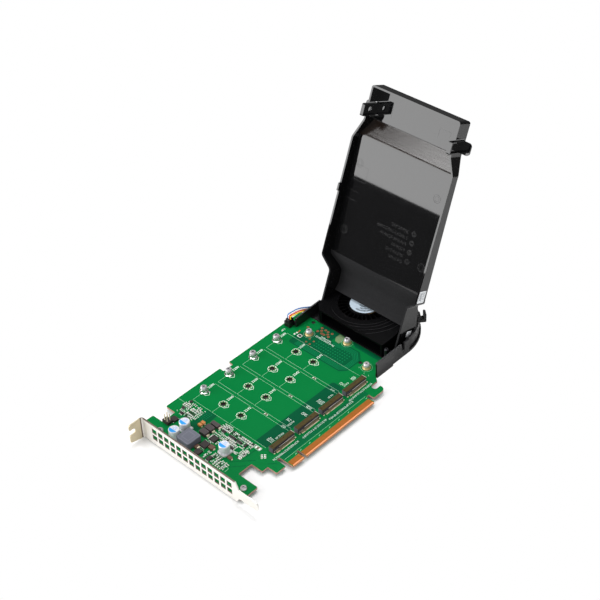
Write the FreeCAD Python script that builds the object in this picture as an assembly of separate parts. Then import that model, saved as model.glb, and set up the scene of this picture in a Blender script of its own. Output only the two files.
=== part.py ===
import FreeCAD, Part
import os
from math import degrees, sin, tan

# Adapter card that carries four long memory modules, with a blower under a
# hinged cover.  Lengths in mm.  X runs along the card from the slot bracket
# to the blower, Y from the edge fingers to the top edge, Z out of the
# component side.  The origin is the centre of the key notch on the root line
# of the fingers, on the top face of the board.
# The cover is designed closed and turned open about its hinge at the end.

Vector = FreeCAD.Vector

# Circuit board
BOARD_THICK = 1.57
BOARD_LEFT = -57.2
BOARD_RIGHT = 111.8
BOARD_TOP = 102.5
TAIL_Y = -3.5
LATCH_NOTCH_X0 = -42.3
LATCH_NOTCH_X1 = -29.8
LATCH_NOTCH_LOW_Y = 15.1
LATCH_NOTCH_HIGH_Y = 92.7
TAB_NOTCH_X0 = 24.0
TAB_NOTCH_X1 = 33.7
TAB_NOTCH_Y = 98.2
HOOK_SLOT_END = 82.5
HOOK_SLOT_WIDE = 4.9

# Edge fingers
FINGER_X0 = -12.6
FINGER_X1 = 72.6
FINGER_TIP_Y = -8.25
KEY_HALF = 0.95
CONTACT_PITCH = 1.0
CONTACT_WIDE = 0.7
CONTACT_Y0 = -7.0
CONTACT_Y1 = -2.65
CONTACT_FOIL = 0.06
CONTACTS_LEFT = 11
CONTACTS_RIGHT = 71
FIRST_CONTACT = 1.5

# Module sites: four columns, each with a socket and three fixing rows
COLUMNS = [-0.9 + 25.3 * step for step in range(4)]
FREE_ROWS = [54.85, 72.85]
POST_ROW = 92.85
SITE_HOLE_R = 2.0
SOCKET_X0 = -12.0
SOCKET_X1 = 9.9
SOCKET_Y0 = 10.2
SOCKET_Y1 = 15.0
SOCKET_TALL = 4.2
SOCKET_STEP = 3.3
TAIL_PITCH = 0.5
TAIL_WIDE = 0.26
TAILS = 36
FILM_THICK = 0.08

# Module posts and their screws
POST_R = 2.6
POST_FLANGE_R = 3.4
POST_TALL = 3.0
POST_BORE_R = 1.05
PLAY = 0.1
SCREW_R = POST_BORE_R - PLAY
SCREW_HEAD_R = 2.6
SCREW_HEAD_TALL = 2.4

# Slot bracket
BRACKET_X = -58.7
SHEET = 0.86
BRACKET_Z0 = -3.16
BRACKET_Z1 = 15.26
BRACKET_FOOT_Y = 0.2
BRACKET_TIP_Y = -20.5
BRACKET_TAB_Y = 94.8
BRACKET_TAB_X = -70.5
BRACKET_TAB_Z0 = -1.0
BRACKET_NOTCH_X = -65.2
BRACKET_NOTCH_Z0 = 5.7
BRACKET_NOTCH_Z1 = 10.3
BEND_R = 1.6
TONGUE_Z0 = 1.1
TONGUE_Z1 = 9.1
VENT_PITCH = 6.25
VENT_FIRST_Y = 6.3
VENT_ROWS = [3.3, 9.3]
VENT_LONG = 4.6
VENT_TALL = 4.4
VENT_COUNT = 13
CARD_SCREW_X = -49.5
CARD_SCREW_YS = [2.7, 86.9]
CARD_SCREW_R = 1.4
CARD_SCREW_HEAD_R = 2.4

# Blower base
BASE_RIGHT_Y = 9.15
BASE_LEFT_Y = 97.2
BASE_END_X = 171.5
BASE_FRONT_X = 95.25
BASE_WALL = 1.5
BASE_WALL_TOP = 11.0
LEFT_WALL_TOP = 5.0
LEFT_STEP_X = 140.0
BASE_FLOOR_Z0 = -1.6
BASE_FLOOR_Z1 = -0.1
BASE_FLANGE_Z0 = -3.1
BASE_RIM_INSET = 1.2
BASE_STRAIGHT_X = 131.5
BASE_NEAR_R = 40.0
BASE_FAR_R = 24.0
CHANNEL_WALL_Y = 91.8
CHANNEL_WALL = 1.2
CHANNEL_X0 = 96.0
CHANNEL_X1 = 129.5
CHANNEL_TOP = 9.9
BASE_SCREWS = [(96.5, 79.1), (107.7, 50.1), (96.4, 20.6)]
BASE_SCREW_R = 1.4
COLLAR_TALL = 2.2
LOCATING_PINS = [(108.7, 85.9), (97.5, 27.6)]
LOCATING_HOLE_R = 1.5
POST_SCREW_X = 115.4
POST_SCREW_Y = 17.6
POST_SCREW_SEAT = 6.6
CLIP_TURN = 41.0

# Hinge
HINGE_X = 124.9
HINGE_Z = 3.6
TRUNNION_R = 1.4
OPEN_ANGLE = 112.6

# Blower
ROTOR_X = 142.5
ROTOR_Y = 62.4
BLOWER_TOP = 11.3
LID_THICK = 1.2
SHELL_WALL = 1.3
INLET_R = 21.0
HUB_R = 13.5
BLADE_R = 23.8
BLADES = 29
SHAFT_R = 1.0
BOSS_R = 3.6
OUTLET_Y0 = 21.6
OUTLET_Y1 = 80.8
BLOWER_X0 = 113.0

# Cover, closed
COVER_WALL = 1.4
COVER_Z0 = 0.25
COVER_END_X = -54.5
COVER_NEAR_Y = 7.4
COVER_FAR_Y = 102.3
END_NEAR_Y = 13.5
END_FAR_Y = 95.5
ARM_NEAR_Y = 14.0
ARM_FAR_Y = 91.3
PLATE_END_X = 111.3
LATCH_X0 = -40.4
LATCH_X1 = -31.0
LATCH_GAP = 1.0
LATCH_FOOT_Z = -6.0
LATCH_HOLE_R = 2.0


def rounded_wire(corners):
    """Closed outline through (x, y, corner radius) in the XY plane."""
    starts = []
    ends = []
    arcs = []
    count = len(corners)
    for index in range(count):
        x, y, radius = corners[index]
        before = corners[index - 1]
        after = corners[(index + 1) % count]
        corner = Vector(x, y, 0)
        back = Vector(before[0], before[1], 0) - corner
        ahead = Vector(after[0], after[1], 0) - corner
        back.normalize()
        ahead.normalize()
        if radius == 0:
            starts.append(corner)
            ends.append(corner)
            arcs.append(None)
            continue
        half = back.getAngle(ahead) / 2
        reach = radius / tan(half)
        inward = back + ahead
        inward.normalize()
        start = corner + back * reach
        end = corner + ahead * reach
        middle = corner + inward * (radius / sin(half) - radius)
        starts.append(start)
        ends.append(end)
        arcs.append(Part.Arc(start, middle, end).toShape())
    edges = []
    for index in range(count):
        if arcs[index] is not None:
            edges.append(arcs[index])
        following = starts[(index + 1) % count]
        if (following - ends[index]).Length > 1e-6:
            edges.append(Part.makeLine(ends[index], following))
    return Part.Wire(edges)


def wire_prism(wire, z0, z1):
    face = Part.Face(wire)
    face.translate(Vector(0, 0, z0))
    return face.extrude(Vector(0, 0, z1 - z0))


def prism(corners, z0, z1):
    return wire_prism(rounded_wire(corners), z0, z1)


def prism_along_x(corners_yz, x0, x1):
    face = Part.Face(rounded_wire(corners_yz))
    face.rotate(Vector(0, 0, 0), Vector(1, 1, 1), 120)
    face.translate(Vector(x0, 0, 0))
    return face.extrude(Vector(x1 - x0, 0, 0))


def prism_along_y(corners_xz, y0, y1):
    face = Part.Face(rounded_wire(corners_xz))
    face.rotate(Vector(0, 0, 0), Vector(1, 0, 0), 90)
    face.translate(Vector(0, y0, 0))
    return face.extrude(Vector(0, y1 - y0, 0))


def block(x0, x1, y0, y1, z0, z1, radius=0):
    """Box with rounded upright edges."""
    return prism([(x0, y0, radius), (x1, y0, radius), (x1, y1, radius), (x0, y1, radius)], z0, z1)


def rod(x, y, radius, z0, z1):
    return Part.makeCylinder(radius, z1 - z0, Vector(x, y, z0))


def turned(profile, x, y):
    """Solid of revolution about Z from (radius, z) corners."""
    corners = [Vector(radius, 0, z) for radius, z in profile]
    face = Part.Face(Part.makePolygon(corners + corners[:1]))
    solid = face.revolve(Vector(0, 0, 0), Vector(0, 0, 1), 360)
    solid.translate(Vector(x, y, 0))
    return solid


def join(shapes):
    whole = shapes[0]
    if len(shapes) > 1:
        whole = whole.fuse(shapes[1:])
    return whole.removeSplitter()


def save(name, shapes):
    """Write one node, a single shape or a group of separate solids."""
    shape = shapes
    if isinstance(shapes, list):
        shape = Part.makeCompound(shapes)
    shape.exportStep("parts/" + name + ".step")


# Circuit board with its notches, edge fingers, slot hook and holes
def circuit_board():
    outline = [
        (BOARD_LEFT, TAIL_Y, 0.8),
        (LATCH_NOTCH_X0, TAIL_Y, 0.8),
        (LATCH_NOTCH_X0, LATCH_NOTCH_LOW_Y, 0.8),
        (LATCH_NOTCH_X1, LATCH_NOTCH_LOW_Y, 0.8),
        (LATCH_NOTCH_X1, 4.6, 0.5),
        (-24.4, 4.6, 0.5),
        (-24.4, -4.0, 0.6),
        (-15.6, -4.0, 0.6),
        (-15.6, 5.0, 1.4),
        (FINGER_X0, 5.0, 1.4),
        (FINGER_X0, FINGER_TIP_Y + 0.8, 0),
        (FINGER_X0 + 0.8, FINGER_TIP_Y, 0),
        (-KEY_HALF, FINGER_TIP_Y, 0),
        (-KEY_HALF, 0, 0.9),
        (KEY_HALF, 0, 0.9),
        (KEY_HALF, FINGER_TIP_Y, 0),
        (FINGER_X1 - 0.8, FINGER_TIP_Y, 0),
        (FINGER_X1, FINGER_TIP_Y + 0.8, 0),
        (FINGER_X1, 0, 0.8),
        (75.4, 0, 0.8),
        (75.4, -4.9, 0.8),
        (88.2, -4.9, 3.6),
        (88.2, 0, 0.5),
        (HOOK_SLOT_END, 0, 2.4),
        (HOOK_SLOT_END, HOOK_SLOT_WIDE, 2.4),
        (90.4, HOOK_SLOT_WIDE, 0.8),
        (94.9, 10.95, 0.8),
        (BOARD_RIGHT, 10.95, 0.6),
        (BOARD_RIGHT, BOARD_TOP, 1.0),
        (TAB_NOTCH_X1, BOARD_TOP, 0.6),
        (TAB_NOTCH_X1, TAB_NOTCH_Y, 0.6),
        (TAB_NOTCH_X0, TAB_NOTCH_Y, 0.6),
        (TAB_NOTCH_X0, BOARD_TOP, 0.6),
        (LATCH_NOTCH_X1, BOARD_TOP, 1.2),
        (LATCH_NOTCH_X1, LATCH_NOTCH_HIGH_Y, 0.6),
        (LATCH_NOTCH_X0, LATCH_NOTCH_HIGH_Y, 0.6),
        (LATCH_NOTCH_X0, BOARD_TOP, 0.6),
        (BOARD_LEFT, BOARD_TOP, 1.0),
    ]
    board = prism(outline, -BOARD_THICK, 0)
    # The finger strip is bevelled to a thinner leading edge on both faces.
    bevel = 0.45
    tip = FINGER_TIP_Y
    for sign, face_z in ((1, 0), (-1, -BOARD_THICK)):
        wedge = prism_along_x(
            [(tip - 1, face_z + sign, 0), (tip - 1, face_z - sign * bevel * 2.2, 0),
             (tip, face_z - sign * bevel, 0), (tip + 1.2, face_z, 0), (tip + 1.2, face_z + sign, 0)],
            FINGER_X0 - 1, FINGER_X1 + 1)
        board = board.cut(wedge)
    holes = []
    for x in COLUMNS:
        for y in FREE_ROWS + [POST_ROW]:
            holes.append((x, y, SITE_HOLE_R))
    for x, y in BASE_SCREWS:
        holes.append((x, y, BASE_SCREW_R + 0.3))
    for x, y in LOCATING_PINS:
        holes.append((x, y, LOCATING_HOLE_R))
    for y in CARD_SCREW_YS:
        holes.append((CARD_SCREW_X, y, CARD_SCREW_R + 0.2))
    drills = [rod(x, y, radius, -3, 1) for x, y, radius in holes]
    return board.cut(Part.makeCompound(drills))


# Gold contacts on both faces of the fingers
def edge_contacts():
    centres = [-(FIRST_CONTACT + CONTACT_PITCH * step) for step in range(CONTACTS_LEFT)]
    centres += [FIRST_CONTACT + CONTACT_PITCH * step for step in range(CONTACTS_RIGHT)]
    pads = []
    half = CONTACT_WIDE / 2
    for x in centres:
        for z in (0, -BOARD_THICK - CONTACT_FOIL):
            pads.append(Part.makeBox(CONTACT_WIDE, CONTACT_Y1 - CONTACT_Y0, CONTACT_FOIL, Vector(x - half, CONTACT_Y0, z)))
    return pads


# One steel sheet: upright plate with vents, bent tab, tongue and two lugs
def slot_bracket():
    outer = BRACKET_X
    inner = BRACKET_X + SHEET
    tab = BRACKET_TAB_Y
    profile = [
        (outer, BRACKET_TIP_Y, 0.2),
        (inner, BRACKET_TIP_Y, 0.2),
        (inner, tab, BEND_R + SHEET),
        (BRACKET_TAB_X, tab, 0.2),
        (BRACKET_TAB_X, tab - SHEET, 0.2),
        (outer, tab - SHEET, BEND_R),
    ]
    sheet = prism(profile, BRACKET_Z0, BRACKET_Z1)
    side = [
        (BRACKET_TIP_Y, TONGUE_Z0 + 0.9, 2.2),
        (BRACKET_TIP_Y, TONGUE_Z1 - 0.9, 2.2),
        (-13.0, TONGUE_Z1, 4.0),
        (-2.6, TONGUE_Z1, 1.2),
        (BRACKET_FOOT_Y, BRACKET_Z1, 0.8),
        (100.0, BRACKET_Z1, 0),
        (100.0, BRACKET_Z0, 0),
        (BRACKET_FOOT_Y, BRACKET_Z0, 0.8),
        (-2.6, TONGUE_Z0, 1.2),
        (-13.0, TONGUE_Z0, 4.0),
    ]
    sheet = sheet.common(prism_along_x(side, BRACKET_TAB_X - 2, inner + 2))
    # Rounded corners and the open screw notch of the bent tab.
    tab_plan = [
        (BRACKET_TAB_X, BRACKET_TAB_Z0, 1.2),
        (BRACKET_TAB_X, BRACKET_NOTCH_Z0, 0.8),
        (BRACKET_NOTCH_X, BRACKET_NOTCH_Z0, 2.2),
        (BRACKET_NOTCH_X, BRACKET_NOTCH_Z1, 2.2),
        (BRACKET_TAB_X, BRACKET_NOTCH_Z1, 0.8),
        (BRACKET_TAB_X, BRACKET_Z1, 1.6),
        (-50.0, BRACKET_Z1, 0),
        (-50.0, BRACKET_Z0, 0),
        (-61.5, BRACKET_Z0, 1.0),
    ]
    sheet = sheet.common(prism_along_y(tab_plan, -40, 110))
    vents = []
    for column in range(VENT_COUNT):
        y = VENT_FIRST_Y + VENT_PITCH * column
        for z in VENT_ROWS:
            corners = []
            for side_y, side_z in ((-1, -1), (1, -1), (1, 1), (-1, 1)):
                corners.append((y + side_y * VENT_LONG / 2, z + side_z * VENT_TALL / 2, 0))
            vents.append(prism_along_x(corners, outer - 1, inner + 1))
    sheet = sheet.cut(Part.makeCompound(vents))
    # Lugs under the board take the card screws.
    shapes = [sheet]
    top = -BOARD_THICK
    for y in CARD_SCREW_YS:
        lug = prism(
            [(inner - 0.4, y - 3.4, 0), (CARD_SCREW_X + 4.0, y - 3.4, 1.5),
             (CARD_SCREW_X + 4.0, y + 3.4, 1.5), (inner - 0.4, y + 3.4, 0)],
            top - SHEET, top)
        shapes.append(lug.cut(rod(CARD_SCREW_X, y, CARD_SCREW_R + 0.05, -4, 0)))
    return join(shapes)


def pan_screw(x, y, seat, head_r, head_tall, shank_r, tip):
    profile = [
        (0, tip),
        (shank_r - 0.2, tip),
        (shank_r, tip + 0.2),
        (shank_r, seat),
        (head_r, seat),
        (head_r, seat + head_tall * 0.45),
        (head_r * 0.88, seat + head_tall * 0.8),
        (head_r * 0.66, seat + head_tall),
        (0, seat + head_tall),
    ]
    screw = turned(profile, x, y)
    slot_half = 0.3
    slot_long = head_r * 0.55
    top = seat + head_tall
    cross = [
        Part.makeBox(2 * slot_long, 2 * slot_half, 2, Vector(x - slot_long, y - slot_half, top - 0.9)),
        Part.makeBox(2 * slot_half, 2 * slot_long, 2, Vector(x - slot_half, y - slot_long, top - 0.9)),
    ]
    return screw.cut(Part.makeCompound(cross))


# Threaded posts soldered into the board, and the screws on them
def module_posts():
    posts = []
    for x in COLUMNS:
        profile = [
            (POST_BORE_R, -1.4),
            (SITE_HOLE_R - PLAY, -1.4),
            (SITE_HOLE_R - PLAY, 0),
            (POST_FLANGE_R, 0),
            (POST_FLANGE_R, 0.5),
            (POST_R, 1.0),
            (POST_R, POST_TALL - 0.2),
            (POST_R - 0.2, POST_TALL),
            (POST_BORE_R, POST_TALL),
        ]
        posts.append(turned(profile, x, POST_ROW))
    return posts


def module_screws():
    screws = []
    for x in COLUMNS:
        screws.append(pan_screw(x, POST_ROW, POST_TALL, SCREW_HEAD_R, SCREW_HEAD_TALL, SCREW_R, -1.0))
    return screws


# Module sockets: moulded body with a slot mouth towards the posts
def module_socket(column):
    profile = [
        (SOCKET_Y0, 0, 0.2),
        (SOCKET_Y1, 0, 0.2),
        (SOCKET_Y1, 1.5, 0.2),
        (SOCKET_Y1 - 3.3, 1.5, 0),
        (SOCKET_Y1 - 3.3, 2.9, 0),
        (SOCKET_Y1 - 0.6, 3.1, 0),
        (SOCKET_Y1 - 0.6, SOCKET_TALL, 0.2),
        (SOCKET_Y0 + 0.8, SOCKET_TALL, 0.3),
        (SOCKET_Y0 + 0.8, SOCKET_STEP, 0),
        (SOCKET_Y0, SOCKET_STEP, 0.3),
    ]
    body = prism_along_x(profile, column + SOCKET_X0 + 1.9, column + SOCKET_X1 - 1.2)
    key = block(column + 5.4, column + 6.4, SOCKET_Y0 + 1.0, SOCKET_Y1 - 0.7, 0.5, 3.8)
    left = block(column + SOCKET_X0, column + SOCKET_X0 + 1.95, SOCKET_Y0 + 0.6, SOCKET_Y1, 0, SOCKET_TALL, 0.5)
    right = block(column + SOCKET_X1 - 1.25, column + SOCKET_X1, SOCKET_Y0 + 0.6, SOCKET_Y1, 0, SOCKET_TALL, 0.4)
    return join([body, key, left, right])


def socket_contacts():
    tails = []
    for column in COLUMNS:
        for step in range(TAILS):
            x = column - 9.7 + TAIL_PITCH * step
            tail = prism_along_x(
                [(8.9, 0, 0), (SOCKET_Y0, 0, 0), (SOCKET_Y0, 1.6, 0), (9.95, 1.6, 0), (9.9, 0.2, 0), (8.9, 0.2, 0)],
                x, x + TAIL_WIDE)
            tails.append(tail)
    return tails


def pickup_films():
    films = []
    for column in COLUMNS:
        films.append(block(column - 9.5, column + 8.2, SOCKET_Y0 + 1.2, SOCKET_Y1 - 0.7,
                           SOCKET_TALL, SOCKET_TALL + FILM_THICK, 0.5))
    return films


# Power choke, capacitor cans, regulators and small parts at the bracket end
CHOKE = (-49.8, -37.0, 56.8, 69.5)
CAN_R = 4.0
CAN_TALL = 8.0
CANS = [(-46.8, 74.4), (-36.6, 74.6), (-34.0, 37.0)]
CHIPS = [
    (-46.0, 51.0, 4.8, 4.8, 1.2),
    (-38.4, 52.4, 5.8, 5.8, 1.4),
    (-30.2, 51.6, 5.2, 5.2, 1.3),
    (-45.4, 40.6, 4.4, 3.2, 1.1),
    (-35.2, 87.6, 4.4, 5.0, 1.5),
    (-27.2, 88.4, 1.8, 3.2, 1.0),
    (-22.8, 91.6, 1.8, 2.4, 1.0),
    (-20.6, 43.0, 1.8, 6.2, 1.1),
    (-20.6, 36.2, 1.8, 5.0, 1.1),
    (-20.2, 30.3, 3.4, 1.6, 0.9),
    (-28.3, 36.2, 1.8, 3.2, 0.9),
    (-20.5, 52.0, 2.0, 3.2, 1.0),
]
BLOCKS = [
    (-31.0, 60.8, 4.6, 6.4, 3.0),
    (-25.6, 60.8, 4.6, 6.6, 3.0),
    (-20.2, 60.6, 3.4, 7.4, 2.4),
]
SMALL_TANTALUMS = [
    (-27.3, 69.0, 2.2, 3.2, 1.7),
    (-24.4, 69.0, 2.2, 3.2, 1.7),
    (-37.3, 46.6, 3.6, 4.2, 1.7),
    (-35.8, 30.0, 2.4, 3.6, 1.4),
    (-43.6, 55.2, 3.6, 2.2, 1.7),
]
PASSIVE_FIELDS = [
    (-46.8, 28.0, 3, 4, 1.9, 2.2, 1.2, 0.8),
    (-46.6, 44.6, 2, 1, 2.4, 2.0, 1.6, 0.8),
    (-31.8, 25.0, 6, 2, 1.7, 1.5, 0.9, 0.9),
    (-26.4, 36.6, 3, 6, 1.7, 1.7, 0.8, 1.1),
    (-17.6, 27.2, 2, 10, 1.8, 2.1, 0.9, 1.2),
    (-26.4, 80.4, 5, 3, 1.9, 2.0, 0.9, 1.2),
    (-20.0, 88.2, 2, 4, 1.9, 1.9, 1.1, 0.8),
    (-18.6, 48.6, 2, 4, 2.0, 2.2, 1.2, 1.4),
    (-42.0, 34.6, 2, 4, 2.2, 2.0, 1.2, 0.8),
]


def chip(x, y, long_x, long_y, tall, edge=0.15):
    shape = block(x - long_x / 2, x + long_x / 2, y - long_y / 2, y + long_y / 2, 0, tall, edge)
    return shape


def power_choke():
    x0, x1, y0, y1 = CHOKE
    body = block(x0, x1, y0, y1, 0.5, 6.0, 1.4)
    body = body.makeChamfer(0.35, [edge for edge in body.Edges if edge.BoundBox.ZMin > 5.99])
    foot = block(x0 + 0.8, x1 - 0.8, y0 + 0.5, y1 - 0.5, 0, 0.6, 0.6)
    return join([body, foot])


def can_bases():
    bases = []
    for x, y in CANS:
        half = 4.15
        cut = 1.3
        bases.append(prism(
            [(x - half, y - half + cut, 0), (x - half + cut, y - half, 0), (x + half, y - half, 0.2),
             (x + half, y + half, 0.2), (x - half + cut, y + half, 0), (x - half, y + half - cut, 0)], 0, 1.0))
    return bases


def capacitor_cans():
    cans = []
    for x, y in CANS:
        cans.append(turned(
            [(0, 1.0), (CAN_R, 1.0), (CAN_R, 1.8), (CAN_R - 0.3, 2.1), (CAN_R, 2.4),
             (CAN_R, CAN_TALL - 0.4), (CAN_R - 0.4, CAN_TALL), (0, CAN_TALL)], x, y))
    return cans


def passives():
    shapes = []
    for x0, y0, across, up, step_x, step_y, long_x, long_y in PASSIVE_FIELDS:
        for column in range(across):
            for row in range(up):
                x = x0 + step_x * column
                y = y0 + step_y * row
                shapes.append(chip(x, y, long_x, long_y, 0.7, 0))
    return shapes


HEADER_X = -39.9
HEADER_Y = 89.2


def pin_header_base():
    return block(HEADER_X - 2.5, HEADER_X + 2.2, HEADER_Y - 3.0, HEADER_Y + 3.2, 0, 2.5, 0.3)


def header_pins():
    pins = []
    for row_x in (HEADER_X - 1.4, HEADER_X + 1.1):
        for row_y in (HEADER_Y - 1.3, HEADER_Y + 1.3):
            pins.append(Part.makeBox(0.5, 0.5, 8.2, Vector(row_x - 0.25, row_y - 0.25, 0)))
    return pins


def pin_header_shape():
    body = pin_header_base()
    cuts = []
    for pin in header_pins():
        cuts.append(pin)
    return body.cut(Part.makeCompound(cuts))


# Blower base: tray with walls, flange under the board, channel and clip
def blower_base():
    near = BASE_RIGHT_Y
    far = BASE_LEFT_Y
    step_x = BOARD_RIGHT + 0.2
    tray_outline = [
        (step_x, near, 0),
        (BASE_END_X, near, BASE_NEAR_R),
        (BASE_END_X, far, BASE_FAR_R),
        (step_x, far, 0.5),
    ]
    floor = prism(tray_outline, BASE_FLOOR_Z0, BASE_FLOOR_Z1)
    rim_wire = rounded_wire(tray_outline)
    wall_outer = wire_prism(rim_wire.makeOffset2D(-BASE_RIM_INSET), BASE_FLOOR_Z0, BASE_WALL_TOP)
    wall_inner = wire_prism(rim_wire.makeOffset2D(-BASE_RIM_INSET - BASE_WALL), BASE_FLOOR_Z1, 30)
    far_wall = wall_outer.cut(wall_inner)
    far_wall = far_wall.cut(Part.makeBox(60, 200, 60, Vector(BASE_STRAIGHT_X - 60, -80, -10)))
    far_wall = far_wall.cut(Part.makeBox(60, 60, 60, Vector(LEFT_STEP_X - 60, 60, -10)))
    left_wall_in = far - BASE_RIM_INSET - BASE_WALL
    left_wall = block(104.0, LEFT_STEP_X + 0.2, left_wall_in, left_wall_in + BASE_WALL, 0.05, LEFT_WALL_TOP)
    left_low = block(step_x, LEFT_STEP_X + 0.2, left_wall_in, left_wall_in + BASE_WALL, BASE_FLOOR_Z0, 1.0)
    lip = prism(tray_outline, BASE_FLOOR_Z1, 0.3)
    lip = lip.cut(wire_prism(rim_wire.makeOffset2D(-BASE_RIM_INSET - 0.1), -1, 30))
    lip = lip.cut(Part.makeBox(60, 200, 60, Vector(BASE_STRAIGHT_X - 60, -80, -10)))
    near_wall = prism_along_y(
        [(BASE_FRONT_X, BASE_FLANGE_Z0, 0), (step_x, BASE_FLANGE_Z0, 0), (step_x + 1.4, BASE_FLOOR_Z0, 0),
         (BASE_STRAIGHT_X + 0.6, BASE_FLOOR_Z0, 0), (BASE_STRAIGHT_X + 0.6, BASE_WALL_TOP, 0.4),
         (BASE_FRONT_X, BASE_WALL_TOP, 1.2)],
        near, near + BASE_WALL)
    near_join = block(BASE_STRAIGHT_X - 0.6, BASE_STRAIGHT_X + 1.2, near + 0.4,
                      near + BASE_RIM_INSET + BASE_WALL, BASE_FLOOR_Z0, BASE_WALL_TOP - 0.4)
    flange = prism(
        [(BASE_FRONT_X, near, 0), (step_x + 1.4, near, 0), (step_x + 1.4, 93.3, 0), (91.4, 93.3, 1.5),
         (91.4, 12.6, 1.5), (BASE_FRONT_X, 12.6, 0.5)],
        BASE_FLANGE_Z0, -BOARD_THICK)
    riser = block(step_x, step_x + 1.4, near, 93.3, BASE_FLANGE_Z0, BASE_FLOOR_Z1)
    channel = prism_along_y(
        [(CHANNEL_X0, 0.05, 0.4), (CHANNEL_X0, CHANNEL_TOP - 1.2, 0.8), (HINGE_X, CHANNEL_TOP, 0),
         (HINGE_X, CHANNEL_TOP - 3.0, 0), (CHANNEL_X1, CHANNEL_TOP - 3.0, 0.8), (CHANNEL_X1, 0.05, 0)],
        CHANNEL_WALL_Y, CHANNEL_WALL_Y + CHANNEL_WALL)
    channel_low = block(step_x, CHANNEL_X1, CHANNEL_WALL_Y, CHANNEL_WALL_Y + CHANNEL_WALL, BASE_FLOOR_Z0, 1.0)
    bridge = block(103.0, 110.8, CHANNEL_WALL_Y + 0.2, left_wall_in + 0.4, 0.05, 1.2)
    cord_tie = block(CHANNEL_X0, CHANNEL_X0 + 2.4, CHANNEL_WALL_Y + 0.3, CHANNEL_WALL_Y + 2.6, 0.05, 4.5, 0.3)
    post = rod(POST_SCREW_X, POST_SCREW_Y, 1.8, BASE_FLOOR_Z1 - 0.5, POST_SCREW_SEAT)
    # Clip on the curved wall: a hook open at the top, square to the wall.
    wall_mid = BASE_NEAR_R - BASE_RIM_INSET - BASE_WALL / 2
    clip = prism_along_y(
        [(wall_mid, 3.0, 0), (wall_mid + 6.2, 3.0, 1.0), (wall_mid + 6.2, 11.2, 1.0), (wall_mid + 4.2, 11.2, 0.4),
         (wall_mid + 4.2, 5.4, 0.6), (wall_mid + 1.8, 5.4, 0.6), (wall_mid + 1.8, 9.6, 0), (wall_mid, 9.6, 0)],
        -2.6, 2.6)
    clip.rotate(Vector(0, 0, 0), Vector(0, 0, 1), -CLIP_TURN)
    clip.translate(Vector(BASE_END_X - BASE_NEAR_R, near + BASE_NEAR_R, 0))
    shapes = [floor, far_wall, left_wall, left_low, lip, near_wall, near_join, flange, riser, channel,
              channel_low, bridge, cord_tie, post, clip]
    base = join(shapes)
    # Slots for the cover trunnions, open at the top.
    slot_r = TRUNNION_R + PLAY
    cuts = []
    for y0, y1 in ((near - 1, near + 5), (CHANNEL_WALL_Y - 1, CHANNEL_WALL_Y + CHANNEL_WALL + 0.1)):
        cuts.append(Part.makeBox(2 * slot_r, y1 - y0, 20, Vector(HINGE_X - slot_r, y0, HINGE_Z)))
        cuts.append(Part.makeCylinder(slot_r, y1 - y0, Vector(HINGE_X, y0, HINGE_Z), Vector(0, 1, 0)))
    for x, y in BASE_SCREWS:
        cuts.append(rod(x, y, BASE_SCREW_R + 0.05, -5, 0))
    cuts.append(rod(POST_SCREW_X, POST_SCREW_Y, POST_BORE_R, 0.5, 9))
    base = base.cut(Part.makeCompound(cuts))
    pins = []
    for x, y in LOCATING_PINS:
        pins.append(rod(x, y, LOCATING_HOLE_R - PLAY, -BOARD_THICK - 0.2, -0.5))
    return join([base] + pins)


def base_collars():
    collars = []
    for x, y in BASE_SCREWS:
        collars.append(turned(
            [(BASE_SCREW_R + 0.2, 0), (3.3, 0), (3.3, 0.4), (2.7, 0.9), (2.7, COLLAR_TALL - 0.2),
             (2.5, COLLAR_TALL), (BASE_SCREW_R + 0.2, COLLAR_TALL)], x, y))
    return collars


def base_screws():
    tip = BASE_FLANGE_Z0 + 0.1
    return [pan_screw(x, y, COLLAR_TALL, SCREW_HEAD_R, 2.2, BASE_SCREW_R, tip) for x, y in BASE_SCREWS]


# Blower: scroll housing, lid with inlet, impeller with its shaft
def scroll_wire():
    """Outline of the scroll: the near side opens out from the rotor."""
    return rounded_wire([
        (BLOWER_X0, 19.7, 0.8),
        (141.0, 19.7, 45.0),
        (168.7, 46.5, 44.5),
        (168.7, 89.5, 23.4),
        (118.5, 89.5, 0),
        (BLOWER_X0, 83.0, 0),
    ])


def blower_housing():
    outline = scroll_wire()
    seat = BLOWER_TOP - LID_THICK
    shell = wire_prism(outline, BASE_FLOOR_Z1, seat)
    hollow = wire_prism(outline.makeOffset2D(-SHELL_WALL), BASE_FLOOR_Z1 + SHELL_WALL, seat + 1)
    shell = shell.cut(hollow)
    mouth = Part.makeBox(6, OUTLET_Y1 - OUTLET_Y0, seat, Vector(BLOWER_X0 - 2, OUTLET_Y0, BASE_FLOOR_Z1 + SHELL_WALL))
    shell = shell.cut(mouth)
    boss = turned([(SHAFT_R + 0.05, 0.6), (BOSS_R, 0.6), (BOSS_R, 6.9), (BOSS_R - 0.3, 7.2),
                   (SHAFT_R + 0.05, 7.2)], ROTOR_X, ROTOR_Y)
    return join([shell, boss])


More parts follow.
